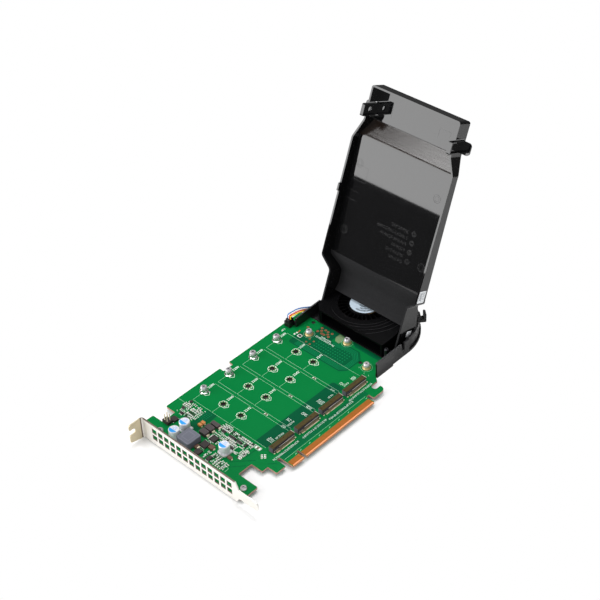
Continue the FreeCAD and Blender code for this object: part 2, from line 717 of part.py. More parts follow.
def blower_lid():
    seat = BLOWER_TOP - LID_THICK
    lid = wire_prism(scroll_wire(), seat, BLOWER_TOP)
    lid = lid.cut(rod(ROTOR_X, ROTOR_Y, INLET_R, 0, 30))
    lip = turned([(INLET_R, BLOWER_TOP - 0.4), (INLET_R + 1.1, BLOWER_TOP - 0.4), (INLET_R + 1.1, BLOWER_TOP + 0.1),
                  (INLET_R + 0.8, BLOWER_TOP + 0.35), (INLET_R, BLOWER_TOP + 0.35)], ROTOR_X, ROTOR_Y)
    ribs = []
    inset = scroll_wire().makeOffset2D(-1.6)
    field = wire_prism(inset, BLOWER_TOP - 0.3, BLOWER_TOP + 0.3)
    field = field.common(Part.makeBox(40, 80, 30, Vector(ROTOR_X - 40, ROTOR_Y - 50, -5)))
    for radius in (26.2, 32.7):
        ring = rod(ROTOR_X, ROTOR_Y, radius + 0.35, 0, 20).cut(rod(ROTOR_X, ROTOR_Y, radius - 0.35, 0, 20))
        ribs.append(field.common(ring))
    return join([lid, lip] + ribs)


def impeller():
    hub_bore = BOSS_R + 0.4
    hub = turned([(hub_bore, 1.8), (HUB_R, 1.8), (HUB_R, 10.2), (HUB_R - 0.6, 10.8), (SHAFT_R, 10.8),
                  (SHAFT_R, 9.4), (hub_bore, 9.4)], ROTOR_X, ROTOR_Y)
    plate = turned([(HUB_R - 0.5, 1.8), (BLADE_R, 1.8), (BLADE_R, 2.6), (HUB_R - 0.5, 2.6)], ROTOR_X, ROTOR_Y)
    blades = []
    for step in range(BLADES):
        turn = 360.0 * step / BLADES
        blade = prism([(HUB_R - 0.6, -0.35, 0), (19.0, 0.5, 0), (BLADE_R, 3.2, 0),
                       (BLADE_R - 0.3, 3.8, 0), (18.8, 1.15, 0), (HUB_R - 0.6, 0.25, 0)], 2.4, 9.6)
        blade.rotate(Vector(0, 0, 0), Vector(0, 0, 1), turn)
        blade.translate(Vector(ROTOR_X, ROTOR_Y, 0))
        blades.append(blade)
    return join([hub, plate] + blades)


def rotor_shaft():
    return rod(ROTOR_X, ROTOR_Y, SHAFT_R, 1.3, 10.8)


def hub_label():
    return rod(ROTOR_X, ROTOR_Y, HUB_R - 1.6, 10.8, 10.88)


def post_screw():
    return pan_screw(POST_SCREW_X, POST_SCREW_Y, POST_SCREW_SEAT, 1.7, 1.3, POST_BORE_R - PLAY / 2, 2.0)


# Blower lead: board socket, plug and four coloured wires along the channel
PLUG_X0 = 91.6
PLUG_X1 = 97.4
PLUG_TOP = 6.4
WIRE_R = 0.45
WIRE_PITCH = 0.97
FIRST_WIRE_Y = 96.55
CHANNEL_PITCH = 1.1
WIRE_END_X = 138.0


def lead_header():
    shell = block(PLUG_X0, PLUG_X1, 95.1, 100.9, 0, 4.4, 0.3)
    return shell.cut(block(PLUG_X0 + 0.8, PLUG_X1 + 1, 95.9, 100.1, 0.9, 5.4))


def lead_plug():
    return block(PLUG_X0 + 0.9, PLUG_X1 - 0.2, 96.0, 100.0, 0.95, PLUG_TOP, 0.2)


def bent_wire(points, radius):
    """Round wire through straight runs joined by tangent arcs."""
    pieces = []
    here = points[0]
    for index in range(1, len(points) - 1):
        corner = points[index]
        back = points[index - 1] - corner
        ahead = points[index + 1] - corner
        reach = 0.45 * min(back.Length, ahead.Length)
        back.normalize()
        ahead.normalize()
        half = back.getAngle(ahead) / 2
        inward = back + ahead
        inward.normalize()
        start = corner + back * reach
        centre = corner + inward * (reach * tan(half) / sin(half))
        run = start - here
        pieces.append(Part.makeCylinder(radius, run.Length, here, run))
        ring = Part.Face(Part.Wire(Part.makeCircle(radius, start, back)))
        pieces.append(ring.revolve(centre, ahead.cross(back), 180 - degrees(2 * half)))
        here = corner + ahead * reach
    run = points[-1] - here
    pieces.append(Part.makeCylinder(radius, run.Length, here, run))
    return join(pieces)


def lead_wire(index):
    """Up out of the plug, over and down into the channel, then to the blower."""
    y = FIRST_WIRE_Y + WIRE_PITCH * index
    middle = CHANNEL_WALL_Y + CHANNEL_WALL + WIRE_R + 0.3
    low = BASE_FLOOR_Z1 + WIRE_R + 0.1 + CHANNEL_PITCH * index
    return [
        Vector(PLUG_X0 + 3.0, y, PLUG_TOP),
        Vector(PLUG_X0 + 3.0, y, 8.9 + 0.3 * index),
        Vector(104.0, middle + 0.9 + 0.8 * index, 9.3 + 0.65 * index),
        Vector(111.5, middle, 6.0 + 1.15 * index),
        Vector(123.0, middle, low),
        Vector(WIRE_END_X, middle, low),
        Vector(WIRE_END_X, 89.5, low),
    ]


# Cover, built closed
def cover_plan():
    near = COVER_NEAR_Y
    far = COVER_FAR_Y
    tip = HINGE_X + 3.3
    return [
        (COVER_END_X, END_NEAR_Y, 2.0),
        (-28.0, END_NEAR_Y, 5.0),
        (-15.5, near, 5.0),
        (86.0, near, 3.0),
        (90.5, ARM_NEAR_Y, 3.0),
        (tip, ARM_NEAR_Y, 0),
        (tip, ARM_FAR_Y, 0),
        (93.0, ARM_FAR_Y, 4.0),
        (85.0, far, 4.0),
        (-12.0, far, 6.0),
        (-28.0, END_FAR_Y, 6.0),
        (COVER_END_X, END_FAR_Y, 2.0),
    ]


def cover_profile(drop, low):
    tip = HINGE_X + 3.3
    return [
        (COVER_END_X, low, 0),
        (COVER_END_X, 13.2 - drop, 1.6),
        (-28.0, 13.2 - drop, 3.0),
        (-15.0, 7.2 - drop, 8.0),
        (84.0, 10.7 - drop, 14.0),
        (95.5, 15.8 - drop, 8.0),
        (106.0, 16.2 - drop, 6.0),
        (112.5, 13.0 - drop, 4.0),
        (118.5, 12.4 - drop, 4.0),
        (tip, 6.2 - drop, 2.6),
        (tip, low, 3.25 if drop == 0 else 0),
    ]


def arm_profile():
    tip = HINGE_X + 3.3
    return [
        (94.0, COVER_Z0, 0),
        (94.0, 15.0, 0),
        (96.5, 16.4, 6.0),
        (107.5, 19.0, 8.0),
        (115.5, 16.5, 5.0),
        (121.6, 11.0, 4.0),
        (tip, 5.4, 2.6),
        (tip, COVER_Z0, 3.25),
    ]


def cover_latch(y_wall, outward, depth):
    """Channel-shaped leg through the board notch, with a finger tab."""
    low = min(y_wall, y_wall - outward * COVER_WALL)
    x0 = LATCH_X0
    x1 = LATCH_X1
    leg = prism_along_y([(x0, LATCH_FOOT_Z, 1.0), (x1, LATCH_FOOT_Z, 1.0), (x1, 12.4, 0), (x0, 12.4, 0)],
                        low, low + COVER_WALL)
    rim = prism_along_y([(x0, LATCH_FOOT_Z, 1.0), (x1, LATCH_FOOT_Z, 1.0), (x1, 9.4, 0), (x0, 9.4, 0)],
                        low - depth, low + 0.2)
    hollow = Part.makeBox(x1 - x0 - 2, depth + 1, 20, Vector(x0 + 1, low - depth - 1, LATCH_FOOT_Z + 1))
    reach = y_wall + outward * 8.2
    tab = prism([(x0, y_wall - outward * 1.0, 0), (x1, y_wall - outward * 1.0, 0), (x1, reach, 2.6),
                 (x0, reach, 2.6)], 9.3, 10.6)
    return [leg, rim.cut(hollow), tab]


def closed_cover():
    outer = prism(cover_plan(), COVER_Z0, 30).common(prism_along_y(cover_profile(0, COVER_Z0), 0, 110))
    plan_inside = rounded_wire(cover_plan()).makeOffset2D(-COVER_WALL)
    inner = wire_prism(plan_inside, -5, 30).common(prism_along_y(cover_profile(COVER_WALL, -5), 0, 110))
    shell = outer.cut(inner)
    between = Part.makeBox(40, ARM_FAR_Y - ARM_NEAR_Y - 2 * COVER_WALL, 60,
                           Vector(PLATE_END_X, ARM_NEAR_Y + COVER_WALL, -20))
    shell = shell.cut(between)
    # Gaps beside the latches free them from the end walls.
    gaps = []
    for y in (END_NEAR_Y - 1, END_FAR_Y - COVER_WALL - 1):
        for x in (LATCH_X0 - LATCH_GAP, LATCH_X1):
            gaps.append(Part.makeBox(LATCH_GAP, COVER_WALL + 2, 11.6, Vector(x, y, 0)))
    shell = shell.cut(Part.makeCompound(gaps))
    pieces = [shell]
    pieces += cover_latch(END_NEAR_Y, -1, 2.0)
    pieces += cover_latch(END_FAR_Y, 1, 1.2)
    for arm_y in (ARM_NEAR_Y, ARM_FAR_Y - COVER_WALL):
        pieces.append(prism_along_y(arm_profile(), arm_y, arm_y + COVER_WALL))
    # Tab that drops into the notch of the top edge.
    pieces.append(prism_along_y([(25.4, -1.5, 0.5), (31.6, -1.5, 0.5), (31.6, 1.5, 0), (25.4, 1.5, 0)],
                                COVER_FAR_Y - COVER_WALL, COVER_FAR_Y))
    # Trunnions and their bosses.
    near_tip = BASE_RIGHT_Y + 0.2
    far_tip = CHANNEL_WALL_Y + CHANNEL_WALL - 0.2
    axis = Vector(0, 1, 0)
    pieces.append(Part.makeCylinder(TRUNNION_R, ARM_NEAR_Y + 1 - near_tip, Vector(HINGE_X, near_tip, HINGE_Z), axis))
    pieces.append(Part.makeCylinder(TRUNNION_R, far_tip - ARM_FAR_Y + 1, Vector(HINGE_X, ARM_FAR_Y - 1, HINGE_Z), axis))
    cover = join(pieces)
    # Round hole in the far latch.
    return cover.cut(Part.makeCylinder(LATCH_HOLE_R, 4, Vector((LATCH_X0 + LATCH_X1) / 2, END_FAR_Y - 3, 3.2), axis))


def cover_labels():
    wall_label = prism_along_y([(74.6, 0.6, 0.6), (84.2, 0.6, 0.6), (84.2, 8.6, 0.6), (74.6, 8.6, 0.6)],
                               COVER_NEAR_Y - 0.1, COVER_NEAR_Y)
    arm_label = prism_along_y([(111.8, 9.2, 0.4), (116.4, 9.2, 0.4), (116.4, 14.9, 0.4), (111.8, 14.9, 0.4)],
                              ARM_NEAR_Y - 0.1, ARM_NEAR_Y)
    return [wall_label, arm_label]


def opened(shape):
    shape.rotate(Vector(HINGE_X, 0, HINGE_Z), Vector(0, 1, 0), OPEN_ANGLE)
    return shape


save("circuit_board", circuit_board())
save("edge_contacts", edge_contacts())
save("slot_bracket", slot_bracket())
save("bracket_screws", [pan_screw(CARD_SCREW_X, y, 0, CARD_SCREW_HEAD_R, 2.0, CARD_SCREW_R, -3.0) for y in CARD_SCREW_YS])
for number, column in enumerate(COLUMNS):
    save("module_socket_%d" % (number + 1), module_socket(column))
save("socket_contacts", socket_contacts())
save("pickup_films", pickup_films())
save("module_posts", module_posts())
save("module_screws", module_screws())
save("power_choke", power_choke())
save("capacitor_bases", can_bases())
save("capacitor_cans", capacitor_cans())
save("chip_packages", [chip(*size) for size in CHIPS])
save("power_blocks", [chip(*size, 0.3) for size in BLOCKS])
save("tantalum_capacitors", [chip(*size, 0.2) for size in SMALL_TANTALUMS])
save("small_passives", passives())
save("pin_header_base", pin_header_shape())
save("pin_header_pins", header_pins())
save("blower_base", blower_base())
save("base_collars", base_collars())
save("base_screws", base_screws())
save("blower_housing", blower_housing())
save("blower_lid", blower_lid())
save("impeller", impeller())
save("rotor_shaft", rotor_shaft())
save("hub_label", hub_label())
save("post_screw", post_screw())
save("lead_header", lead_header())
save("lead_plug", lead_plug())
for number, colour in enumerate(("yellow", "red", "white", "blue")):
    save("lead_wire_" + colour, bent_wire(lead_wire(number), WIRE_R))
save("shroud_cover", opened(closed_cover()))
save("cover_labels", [opened(label) for label in cover_labels()])

print("cover opens", OPEN_ANGLE, "degrees about", HINGE_X, HINGE_Z)
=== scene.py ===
# %% [markdown]
# # A memory module adapter card with its air cover open
#
# The real object is a long green circuit board with four module sockets, a steel slot bracket, a small
# blower and a black moulded cover on a hinge. Its solid parts arrive as a fixed CAD frame, whose meshes
# stay as they are. This script gives them their finishes, adds the printed marks and the finest parts of
# the board as thin pieces of their own, and sets up the floor, the lights and the camera.

# %% Setup
import bpy
import bmesh
import math
import random
from mathutils import Matrix, Vector


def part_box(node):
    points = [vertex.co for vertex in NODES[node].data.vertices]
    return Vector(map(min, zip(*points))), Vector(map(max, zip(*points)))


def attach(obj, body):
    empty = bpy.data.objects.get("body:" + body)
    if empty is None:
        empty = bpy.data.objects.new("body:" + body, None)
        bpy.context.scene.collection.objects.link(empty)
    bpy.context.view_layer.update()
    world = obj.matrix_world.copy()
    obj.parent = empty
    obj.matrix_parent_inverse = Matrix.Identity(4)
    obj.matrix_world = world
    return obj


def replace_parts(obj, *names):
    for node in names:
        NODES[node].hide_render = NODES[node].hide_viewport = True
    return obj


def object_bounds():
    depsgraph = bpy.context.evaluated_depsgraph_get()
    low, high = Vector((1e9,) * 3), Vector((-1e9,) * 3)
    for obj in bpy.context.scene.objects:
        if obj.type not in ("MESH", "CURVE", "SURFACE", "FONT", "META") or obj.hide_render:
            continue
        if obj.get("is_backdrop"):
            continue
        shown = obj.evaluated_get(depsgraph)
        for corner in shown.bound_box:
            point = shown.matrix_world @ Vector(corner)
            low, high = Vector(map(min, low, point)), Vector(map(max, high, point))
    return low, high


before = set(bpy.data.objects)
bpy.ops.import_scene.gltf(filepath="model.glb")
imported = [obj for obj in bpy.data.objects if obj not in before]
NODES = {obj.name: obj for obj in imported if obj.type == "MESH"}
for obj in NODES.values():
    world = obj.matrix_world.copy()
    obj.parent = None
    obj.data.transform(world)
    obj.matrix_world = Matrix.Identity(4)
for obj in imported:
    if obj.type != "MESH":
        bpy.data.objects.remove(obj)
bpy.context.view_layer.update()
MM = 0.001
print("CAD nodes:", len(NODES))

# %% [markdown]
# ## Places on the board
# Places are in millimetres, and MM turns them into Blender's metres. X runs from the bracket to the
# blower, Y from the gold fingers to the far edge and Z out of the board, whose top is Z 0. Modules lie in
# four columns, and each column has three rows of screw holes for modules of three lengths.

# %% Columns and rows
FIRST_COLUMN = -0.9
COLUMN_PITCH = 25.3
COLUMNS = [FIRST_COLUMN + COLUMN_PITCH * step for step in range(4)]
ROWS = {54.85: "2242", 72.85: "2260", 92.85: "2280"}
print("module holes:", len(COLUMNS) * len(ROWS))


# %% [markdown]
# ## Helpers for finishes
# A colour is easiest to read as hex, as it looks on screen, but Blender mixes light in linear values. One
# function turns the first into the second. `add` puts a node in a tree with its settings and links, so
# that a material reads as a list of its nodes.

# %% Colour and node helpers
def linear(code):
    """sRGB hex to a linear RGBA colour."""
    channels = [int(code[i:i + 2], 16) / 255 for i in (1, 3, 5)]
    return tuple(c / 12.92 if c <= 0.04045 else ((c + 0.055) / 1.055) ** 2.4 for c in channels) + (1.0,)


def add(tree, kind, links=(), inputs=(), **settings):
    """A new node with its settings and input values, fed by (node, output, input) links."""
    node = tree.nodes.new(kind)
    for key, value in settings.items():
        setattr(node, key, value)
    for key, value in dict(inputs).items():
        node.inputs[key].default_value = value
    for source, socket, target in links:
        tree.links.new(source.outputs[socket], node.inputs[target])
    return node


# %% [markdown]
# Most real surfaces differ from a flat colour by a little grain. It could come from an image, but one
# noise pattern, measured in the object's own space, needs no unwrapping and moves the roughness, the
# colour and the relief together. Its scale is in cells per metre: 900 gives grains of about a
# millimetre, coarser than real moulding grain, because finer ones would not show in this picture.

# %% A finish with grain
NOISE_SPAN = {"From Min": 0.3, "From Max": 0.7}
ROUGH_SWING = 0.15
RELIEF_DEPTH = 0.2 * MM


def finish(name, colour, rough, metal=0.0, bump=0.0, grain=900.0, blotch=0.0, specular=0.5,
           stretch=(1, 1, 1)):
    """A material: blotch is how far the colour swings, and stretch draws the grain out."""
    material = bpy.data.materials.new(name)
    material.use_nodes = True
    tree = material.node_tree
    tree.nodes.clear()
    place = add(tree, "ShaderNodeTexCoord")
    scaled = add(tree, "ShaderNodeMapping", [(place, "Object", "Vector")], {"Scale": stretch})
    noise = add(tree, "ShaderNodeTexNoise", [(scaled, "Vector", "Vector")], {"Scale": grain, "Detail": 4.0})
    rough_low, rough_high = rough * (1 - ROUGH_SWING), min(1.0, rough * (1 + ROUGH_SWING))
    spread = add(tree, "ShaderNodeMapRange", [(noise, "Fac", "Value")],
                 {**NOISE_SPAN, "To Min": rough_low, "To Max": rough_high})
    tint = add(tree, "ShaderNodeMapRange", [(noise, "Fac", "Value")],
               {**NOISE_SPAN, "To Min": 1.0 - blotch, "To Max": 1.0 + blotch})
    shade = add(tree, "ShaderNodeHueSaturation", [(tint, "Result", "Value")], {"Color": linear(colour)})
    relief = add(tree, "ShaderNodeBump", [(noise, "Fac", "Height")],
                 {"Strength": bump, "Distance": RELIEF_DEPTH})
    links = [(shade, "Color", "Base Color"), (spread, "Result", "Roughness"), (relief, "Normal", "Normal")]
    body = add(tree, "ShaderNodeBsdfPrincipled", links, {"Metallic": metal, "Specular IOR Level": specular})
    add(tree, "ShaderNodeOutputMaterial", [(body, "BSDF", "Surface")])
    return material


# %% [markdown]
# ## Solder mask
# Solder mask is a green lacquer over copper and laminate. It is thin enough to take its shade from what
# lies under it. A single material with a painted map could hold all shades. Five plain ones are easier
# to follow, because each area of the board is a thin piece of its own. The lacquer mirrors almost
# nothing at the camera's angle, so its specular level is low and the green stays deep.

# %% Solder mask finishes
# Over a copper plane it looks fresh green.
MASK = finish("green_solder_mask", "#006c33", 0.4, bump=0.02, blotch=0.05, specular=0.04)
# Bare laminate under it swallows light, which leaves a dark green.
MASK_DARK = finish("mask_over_laminate", "#004c2f", 0.4, bump=0.02, blotch=0.06, specular=0.04)
# A field of fine tracks is half copper and half laminate, a dark green that is a little lighter. The same
# green is painted as shade in a strip beside the blower's wall.
MASK_TEAL = finish("mask_over_fine_tracks_and_painted_shade", "#00502f", 0.4, bump=0.02, blotch=0.06, specular=0.04)
# Broader tracks, close together, make it a middle green.
MASK_FRONT = finish("mask_over_close_tracks", "#005c34", 0.4, blotch=0.05, specular=0.04)
# It runs thin over the raised rim of a track or via, where the copper lights it up.
MASK_LIGHT = finish("mask_over_via", "#0a7c4a", 0.4, blotch=0.05, specular=0.04)
print("mask finishes:", len(bpy.data.materials))

# %% [markdown]
# ## Laminate, ink, gold and copper
# The board is glass cloth in epoxy. Marks on it are silk-screened epoxy ink. Its contacts are copper,
# bare or under hard gold. Gold in full metallic weight would mirror the dim walls of this room and look
# brown. With only a little of the weight it keeps the deep orange that it shows in even light.

# %% Board finishes
# A router frays the glass cloth, which gives a dull, pale pink-brown rim.
CUT_EDGE = finish("routed_laminate_edge", "#a88074", 0.7, blotch=0.1)
# The wall of a drilled hole is the same cloth, painted dark brown as the shade inside the hole.
HOLE_SHADE = finish("drilled_hole_painted_shade", "#2a120b", 0.6, blotch=0.1)
# Ink is matte and covers well, and a hair line of it lets some green through.
INK = finish("white_marking_ink", "#e2f2e8", 0.6, blotch=0.05, specular=0.2)
THIN_INK = finish("thin_marking_ink", "#84b898", 0.6, blotch=0.1, specular=0.2)
# Hard gold on the fingers, the duller ground between them, and the bevel in a paler orange, a painted
# highlight where it catches the light.
FINGER_GOLD = finish("finger_gold", "#9c560f", 0.4, metal=0.15, blotch=0.05, specular=0.15)
FINGER_GROUND = finish("gold_between_fingers", "#7a5a2e", 0.5, blotch=0.05, specular=0.2)
FINGER_EDGE = finish("bevelled_gold_painted_highlight", "#e08a55", 0.5, metal=0.1, blotch=0.06)
# Bare copper tarnishes to a soft red brown.
COPPER_PAD = finish("bare_copper_pad", "#a04b2e", 0.45, metal=0.3, blotch=0.08)
# Lacquer over tinned copper looks grey green and patchy.
PALE_PATCH = finish("thin_mask_over_tin", "#67805a", 0.5, blotch=0.2, grain=500, specular=0.2)
print("finishes so far:", len(bpy.data.materials))

# %% [markdown]
# ## Metal finishes
# Plated steel is a mirror that rolling and handling make dull. In full metallic weight it would be only
# as bright as the room that it mirrors. A middle roughness and part of the weight keep it as pale as it
# looks in even light.

# %% Metal finishes
# Solder is bright and lumpy, and where it is fresh from the oven it is cream and matte.
TINNED = finish("tinned_solder", "#e6e8e2", 0.35, metal=0.12, bump=0.1, grain=1200, blotch=0.1)
SOLDER_CREAM = finish("matte_solder", "#ddd0b4", 0.45, metal=0.12, bump=0.15, grain=1500, blotch=0.12)
# Nickel on the bracket is pale and slightly warm. The bent tab is painted a little yellower as shade and a
# warm reflection in its concave bend.
NICKEL_SHEET = finish("nickel_plated_sheet", "#d4d1cb", 0.36, metal=0.25, bump=0.03, grain=1500, blotch=0.02)
NICKEL_TAB_SHADE = finish("nickel_tab_painted_shade", "#c8bc9e", 0.34, metal=0.35, bump=0.03, grain=600, blotch=0.05)
# Sheared edges and vent walls of the bracket are painted brown as shade.
SHEET_EDGE = finish("sheared_edge_painted_shade", "#62524a", 0.5, metal=0.3, blotch=0.15)
# Zinc on the screws and nickel on the posts are bright. The relief breaks up what the posts mirror.
SCREW_STEEL = finish("zinc_plated_steel", "#dcdadd", 0.18, metal=0.6, bump=0.03, blotch=0.05)
POST_STEEL = finish("bright_nickel_steel", "#dcdeda", 0.14, metal=0.9, bump=0.3, grain=1500, blotch=0.1)
# Contact tails are tinned and thin. Strong blotches stand for the light and shade between them.
TAIL_METAL = finish("formed_contact_tails", "#a8997c", 0.4, metal=0.3, blotch=0.25, grain=1500)
# The recess of a screw holds shade.
RECESS = finish("screw_recess", "#35322f", 0.5, blotch=0.1, specular=0.2)
# Black oxide is thin, so the steel still shines through it.
SCREW_DARK = finish("black_oxide_steel", "#3a3a3e", 0.3, metal=0.7, blotch=0.05)
# The collars are brass, a pale yellow.
BRASS = finish("pale_brass", "#d8c08a", 0.32, metal=0.6, blotch=0.08)
# A capacitor can is drawn aluminium, almost white with a soft shine.
CAN = finish("capacitor_can", "#e2e4ea", 0.25, metal=0.3, blotch=0.03)
print("finishes so far:", len(bpy.data.materials))

# %% [markdown]
# ## Finishes of the parts on the board
# Parts are moulded epoxy, pressed metal powder or fired ceramic, all matte. They differ by their tone and
# by how patchy they are.

# %% Part finishes
# The sockets are a glass-filled plastic, charcoal, with a painted highlight on the paler ends that face the
# light.
SOCKET_BLACK = finish("socket_moulding", "#39383b", 0.5, bump=0.03, blotch=0.08, specular=0.2)
SOCKET_END = finish("socket_end_painted_highlight", "#57555c", 0.5, blotch=0.1, specular=0.2)
# A pale bar on the socket's step is a painted highlight on its edge.
SOCKET_STEP = finish("socket_step_painted_highlight", "#b9aea6", 0.5, blotch=0.15)
# Amber film over a black socket looks dark honey brown.
FILM_AMBER = finish("amber_film", "#4a3c0c", 0.3, blotch=0.2, grain=500, specular=0.1)
# The choke is pressed powder, a grainy blue grey, painted paler along its top corners as a highlight.
FERRITE = finish("pressed_powder_grey", "#5f616c", 0.55, bump=0.06, grain=1400, blotch=0.06, specular=0.3)
FERRITE_EDGE = finish("pressed_powder_highlight_and_mark", "#6c6e7b", 0.5, blotch=0.06)
# The seat of a can and the palest small parts are light grey.
BASE_GREY = finish("capacitor_seat", "#bcbcbc", 0.5, blotch=0.05)
# Chips and power parts are moulded epoxy, near black and brown.
PACKAGE = finish("moulded_package", "#2b2524", 0.55, bump=0.05, grain=1200, blotch=0.12, specular=0.3)
BLOCK_BROWN = finish("brown_package", "#40393a", 0.5, bump=0.05, grain=1200, blotch=0.15, specular=0.3)
# Tantalum capacitors come in orange and in umber.
TANTALUM = finish("orange_package", "#b8783f", 0.5, blotch=0.1, specular=0.3)
TANTALUM_DARK = finish("umber_package", "#5a4134", 0.5, blotch=0.15, specular=0.3)
# Fired ceramic is tan on capacitors and dark on resistors, and differs from part to part.
CERAMIC_TAN = finish("tan_ceramic", "#7d6a58", 0.5, blotch=0.2, specular=0.3)
CERAMIC_DARK = finish("dark_resistor", "#2c2827", 0.5, blotch=0.15, specular=0.3)
print("finishes so far:", len(bpy.data.materials))

# %% [markdown]
# ## Black mouldings
# The cover is polished black styrene, almost a mirror, so its look is what it reflects. Its ramp towards
# the bracket is drawn into fine streaks, and its inner skin over the blower is grained. The blower and
# its base are black with a fine sparked grain. Paler paint on the base's top rims and the lid's ribs
# is a painted highlight.

# %% Black mouldings
PLASTIC_BLACK = finish("fine_black_moulding", "#101011", 0.32, bump=0.03, grain=1500, blotch=0.1,
                       specular=0.45)
FAN_BLACK = finish("fan_moulding", "#050506", 0.38, bump=0.02, blotch=0.08, specular=0.05)
# Painted highlight for the top rims of the blower's base and the ribs of its lid.
FAN_HIGHLIGHT = finish("black_rib_painted_highlight", "#242426", 0.35, blotch=0.2, specular=0.5)
COVER_BLACK = finish("polished_black_moulding", "#0c0c0d", 0.02, blotch=0.08, grain=60, specular=0.5)
COVER_RAMP = finish("drawn_black_moulding", "#1c1511", 0.17, bump=0.12, blotch=0.2, grain=1500,
                    specular=0.5, stretch=(1, 0.04, 1))
COVER_MATTE = finish("grained_black_moulding", "#262627", 0.5, blotch=0.1, specular=0.0)
COVER_MARK = finish("worn_black_moulding", "#1d1d1e", 0.22, specular=0.4)
print("finishes so far:", len(bpy.data.materials))

# %% [markdown]
# ## Paper, print and wires
# Label paper is matte and clean. Print on it and on the cans is flat colour. Wire insulation is smooth
# vinyl in four strong colours.

# %% Paper, print and wires
LABEL_WHITE = finish("white_label", "#e6e9ec", 0.5, blotch=0.02)
LABEL_INK = finish("grey_label_print", "#6c7176", 0.6)
HUB_PAPER = finish("hub_label_paper", "#b4c3cf", 0.4, blotch=0.06)
HUB_PRINT = finish("dark_label_print", "#2c3640", 0.5)
# The bronze on the hub's rim is a painted reflection.
HUB_RIM_REFLECTION = finish("hub_rim_painted_reflection", "#6e5326", 0.4, metal=0.4, blotch=0.15)
CAN_BLUE = finish("blue_can_print", "#008fdc", 0.4)
CAN_PALE_BLUE = finish("pale_blue_can_print", "#6f9fe0", 0.4)
WIRES = {
    "yellow": finish("yellow_insulation", "#f0cc10", 0.4),
    "red": finish("red_insulation", "#cc1c22", 0.4),
    "white": finish("white_insulation", "#eeeeea", 0.4),
    "blue": finish("blue_insulation", "#2f6ab0", 0.4),
}
print("all finishes:", len(bpy.data.materials))


# %% [markdown]
# ## Finishes on the CAD parts
# A CAD mesh stays as it is and only its material slots change. `paint` gives one finish to a whole
# part, and `touch` gives another one to the faces that a test picks by their centre and normal. A test
# on faces keeps a border sharp, where a mask in the material would have to be drawn.

# %% Paint
def paint(name, material):
    """One finish for a whole part."""
    mesh = NODES[name].data
    mesh.materials.clear()
    mesh.materials.append(material)
    for polygon in mesh.polygons:
        polygon.material_index = 0


def touch(name, material, test):
    """Another finish for the faces whose centre and normal pass the test."""
    mesh = NODES[name].data
    mesh.materials.append(material)
    for polygon in mesh.polygons:
        if test(polygon.center / MM, polygon.normal):
            polygon.material_index = len(mesh.materials) - 1


SOCKETS = ["module_socket_%d" % number for number in range(1, 5)]
PLAIN_PAINT = {
    MASK: ["circuit_board"],
    FINGER_GOLD: ["edge_contacts"],
    NICKEL_SHEET: ["slot_bracket"],
    SCREW_STEEL: ["bracket_screws", "module_screws", "base_screws", "rotor_shaft"],
    SCREW_DARK: ["post_screw"],
    SOCKET_BLACK: SOCKETS,
    TAIL_METAL: ["socket_contacts"],
    SOLDER_CREAM: ["pin_header_pins"],
    FILM_AMBER: ["pickup_films"],
    POST_STEEL: ["module_posts"],
    BRASS: ["base_collars"],
    FERRITE: ["power_choke"],
    CAN: ["capacitor_cans"],
    BASE_GREY: ["capacitor_bases"],
    PACKAGE: ["chip_packages", "pin_header_base"],
    BLOCK_BROWN: ["power_blocks"],
    TANTALUM: ["tantalum_capacitors"],
    CERAMIC_TAN: ["small_passives"],
    PLASTIC_BLACK: ["blower_base", "lead_header", "lead_plug"],
    FAN_BLACK: ["blower_housing", "blower_lid", "impeller"],
    HUB_PAPER: ["hub_label"],
    COVER_BLACK: ["shroud_cover"],
    LABEL_WHITE: ["cover_labels"],
}
for material, names in PLAIN_PAINT.items():
    for name in names:
        paint(name, material)
for colour, material in WIRES.items():
    paint("lead_wire_" + colour, material)
print("painted parts:", sum(len(names) for names in PLAIN_PAINT.values()) + len(WIRES))

# %% [markdown]
# The board shows laminate on its cut outline, drilled walls painted dark as shade inside its holes, and
# gold with a painted highlight on the bevelled edge under the fingers. A wall is told from a flat face by
# its normal, whose part along Z is small, and a place on it by its centre.

# %% Edges of the board
HALF = 0.5
HOLE_REACH = 3.0
BLOWER_END_X = 90
BLOWER_HOLES_Y = (10, 96)
BEVEL_TOP_Y = -6.5
FINGER_SPAN_X = (-12, 72)


def in_hole(centre):
    """True inside a module hole or one of the holes at the blower's end."""
    near_module = any(math.hypot(centre.x - x, centre.y - y) < HOLE_REACH for x in COLUMNS for y in ROWS)
    low, high = BLOWER_HOLES_Y
    return near_module or (centre.x > BLOWER_END_X and low < centre.y < high)


def under_fingers(centre, normal):
    left, right = FINGER_SPAN_X
    return normal.y < -HALF and centre.y < BEVEL_TOP_Y and left < centre.x < right


touch("circuit_board", CUT_EDGE, lambda centre, normal: abs(normal.z) < HALF)
touch("circuit_board", HOLE_SHADE, lambda centre, normal: abs(normal.z) < HALF and in_hole(centre))
touch("circuit_board", FINGER_EDGE, under_fingers)
print("board finishes:", len(NODES["circuit_board"].data.materials))

# %% [markdown]
# The bracket's sheared edges and vent walls are painted darker than its faces as shade, but low down, at
# the tongue, the edge is as pale as the sheet. Its bent tab is warmer, painted shade and a painted warm
# reflection in its concave bend. The tantalum parts near the bracket are umber, the tops of the blower's
# base are paler with a painted highlight, and the sockets' end faces are paler with a painted highlight.

# %% Other places with a finish of their own
UPRIGHT_X = -62
TONGUE_ROOT_Y = 4
BENT_TAB_X = -60.5
UMBER_X = -30
BASE_RIM_Z = 7.5
FLAT = 0.95

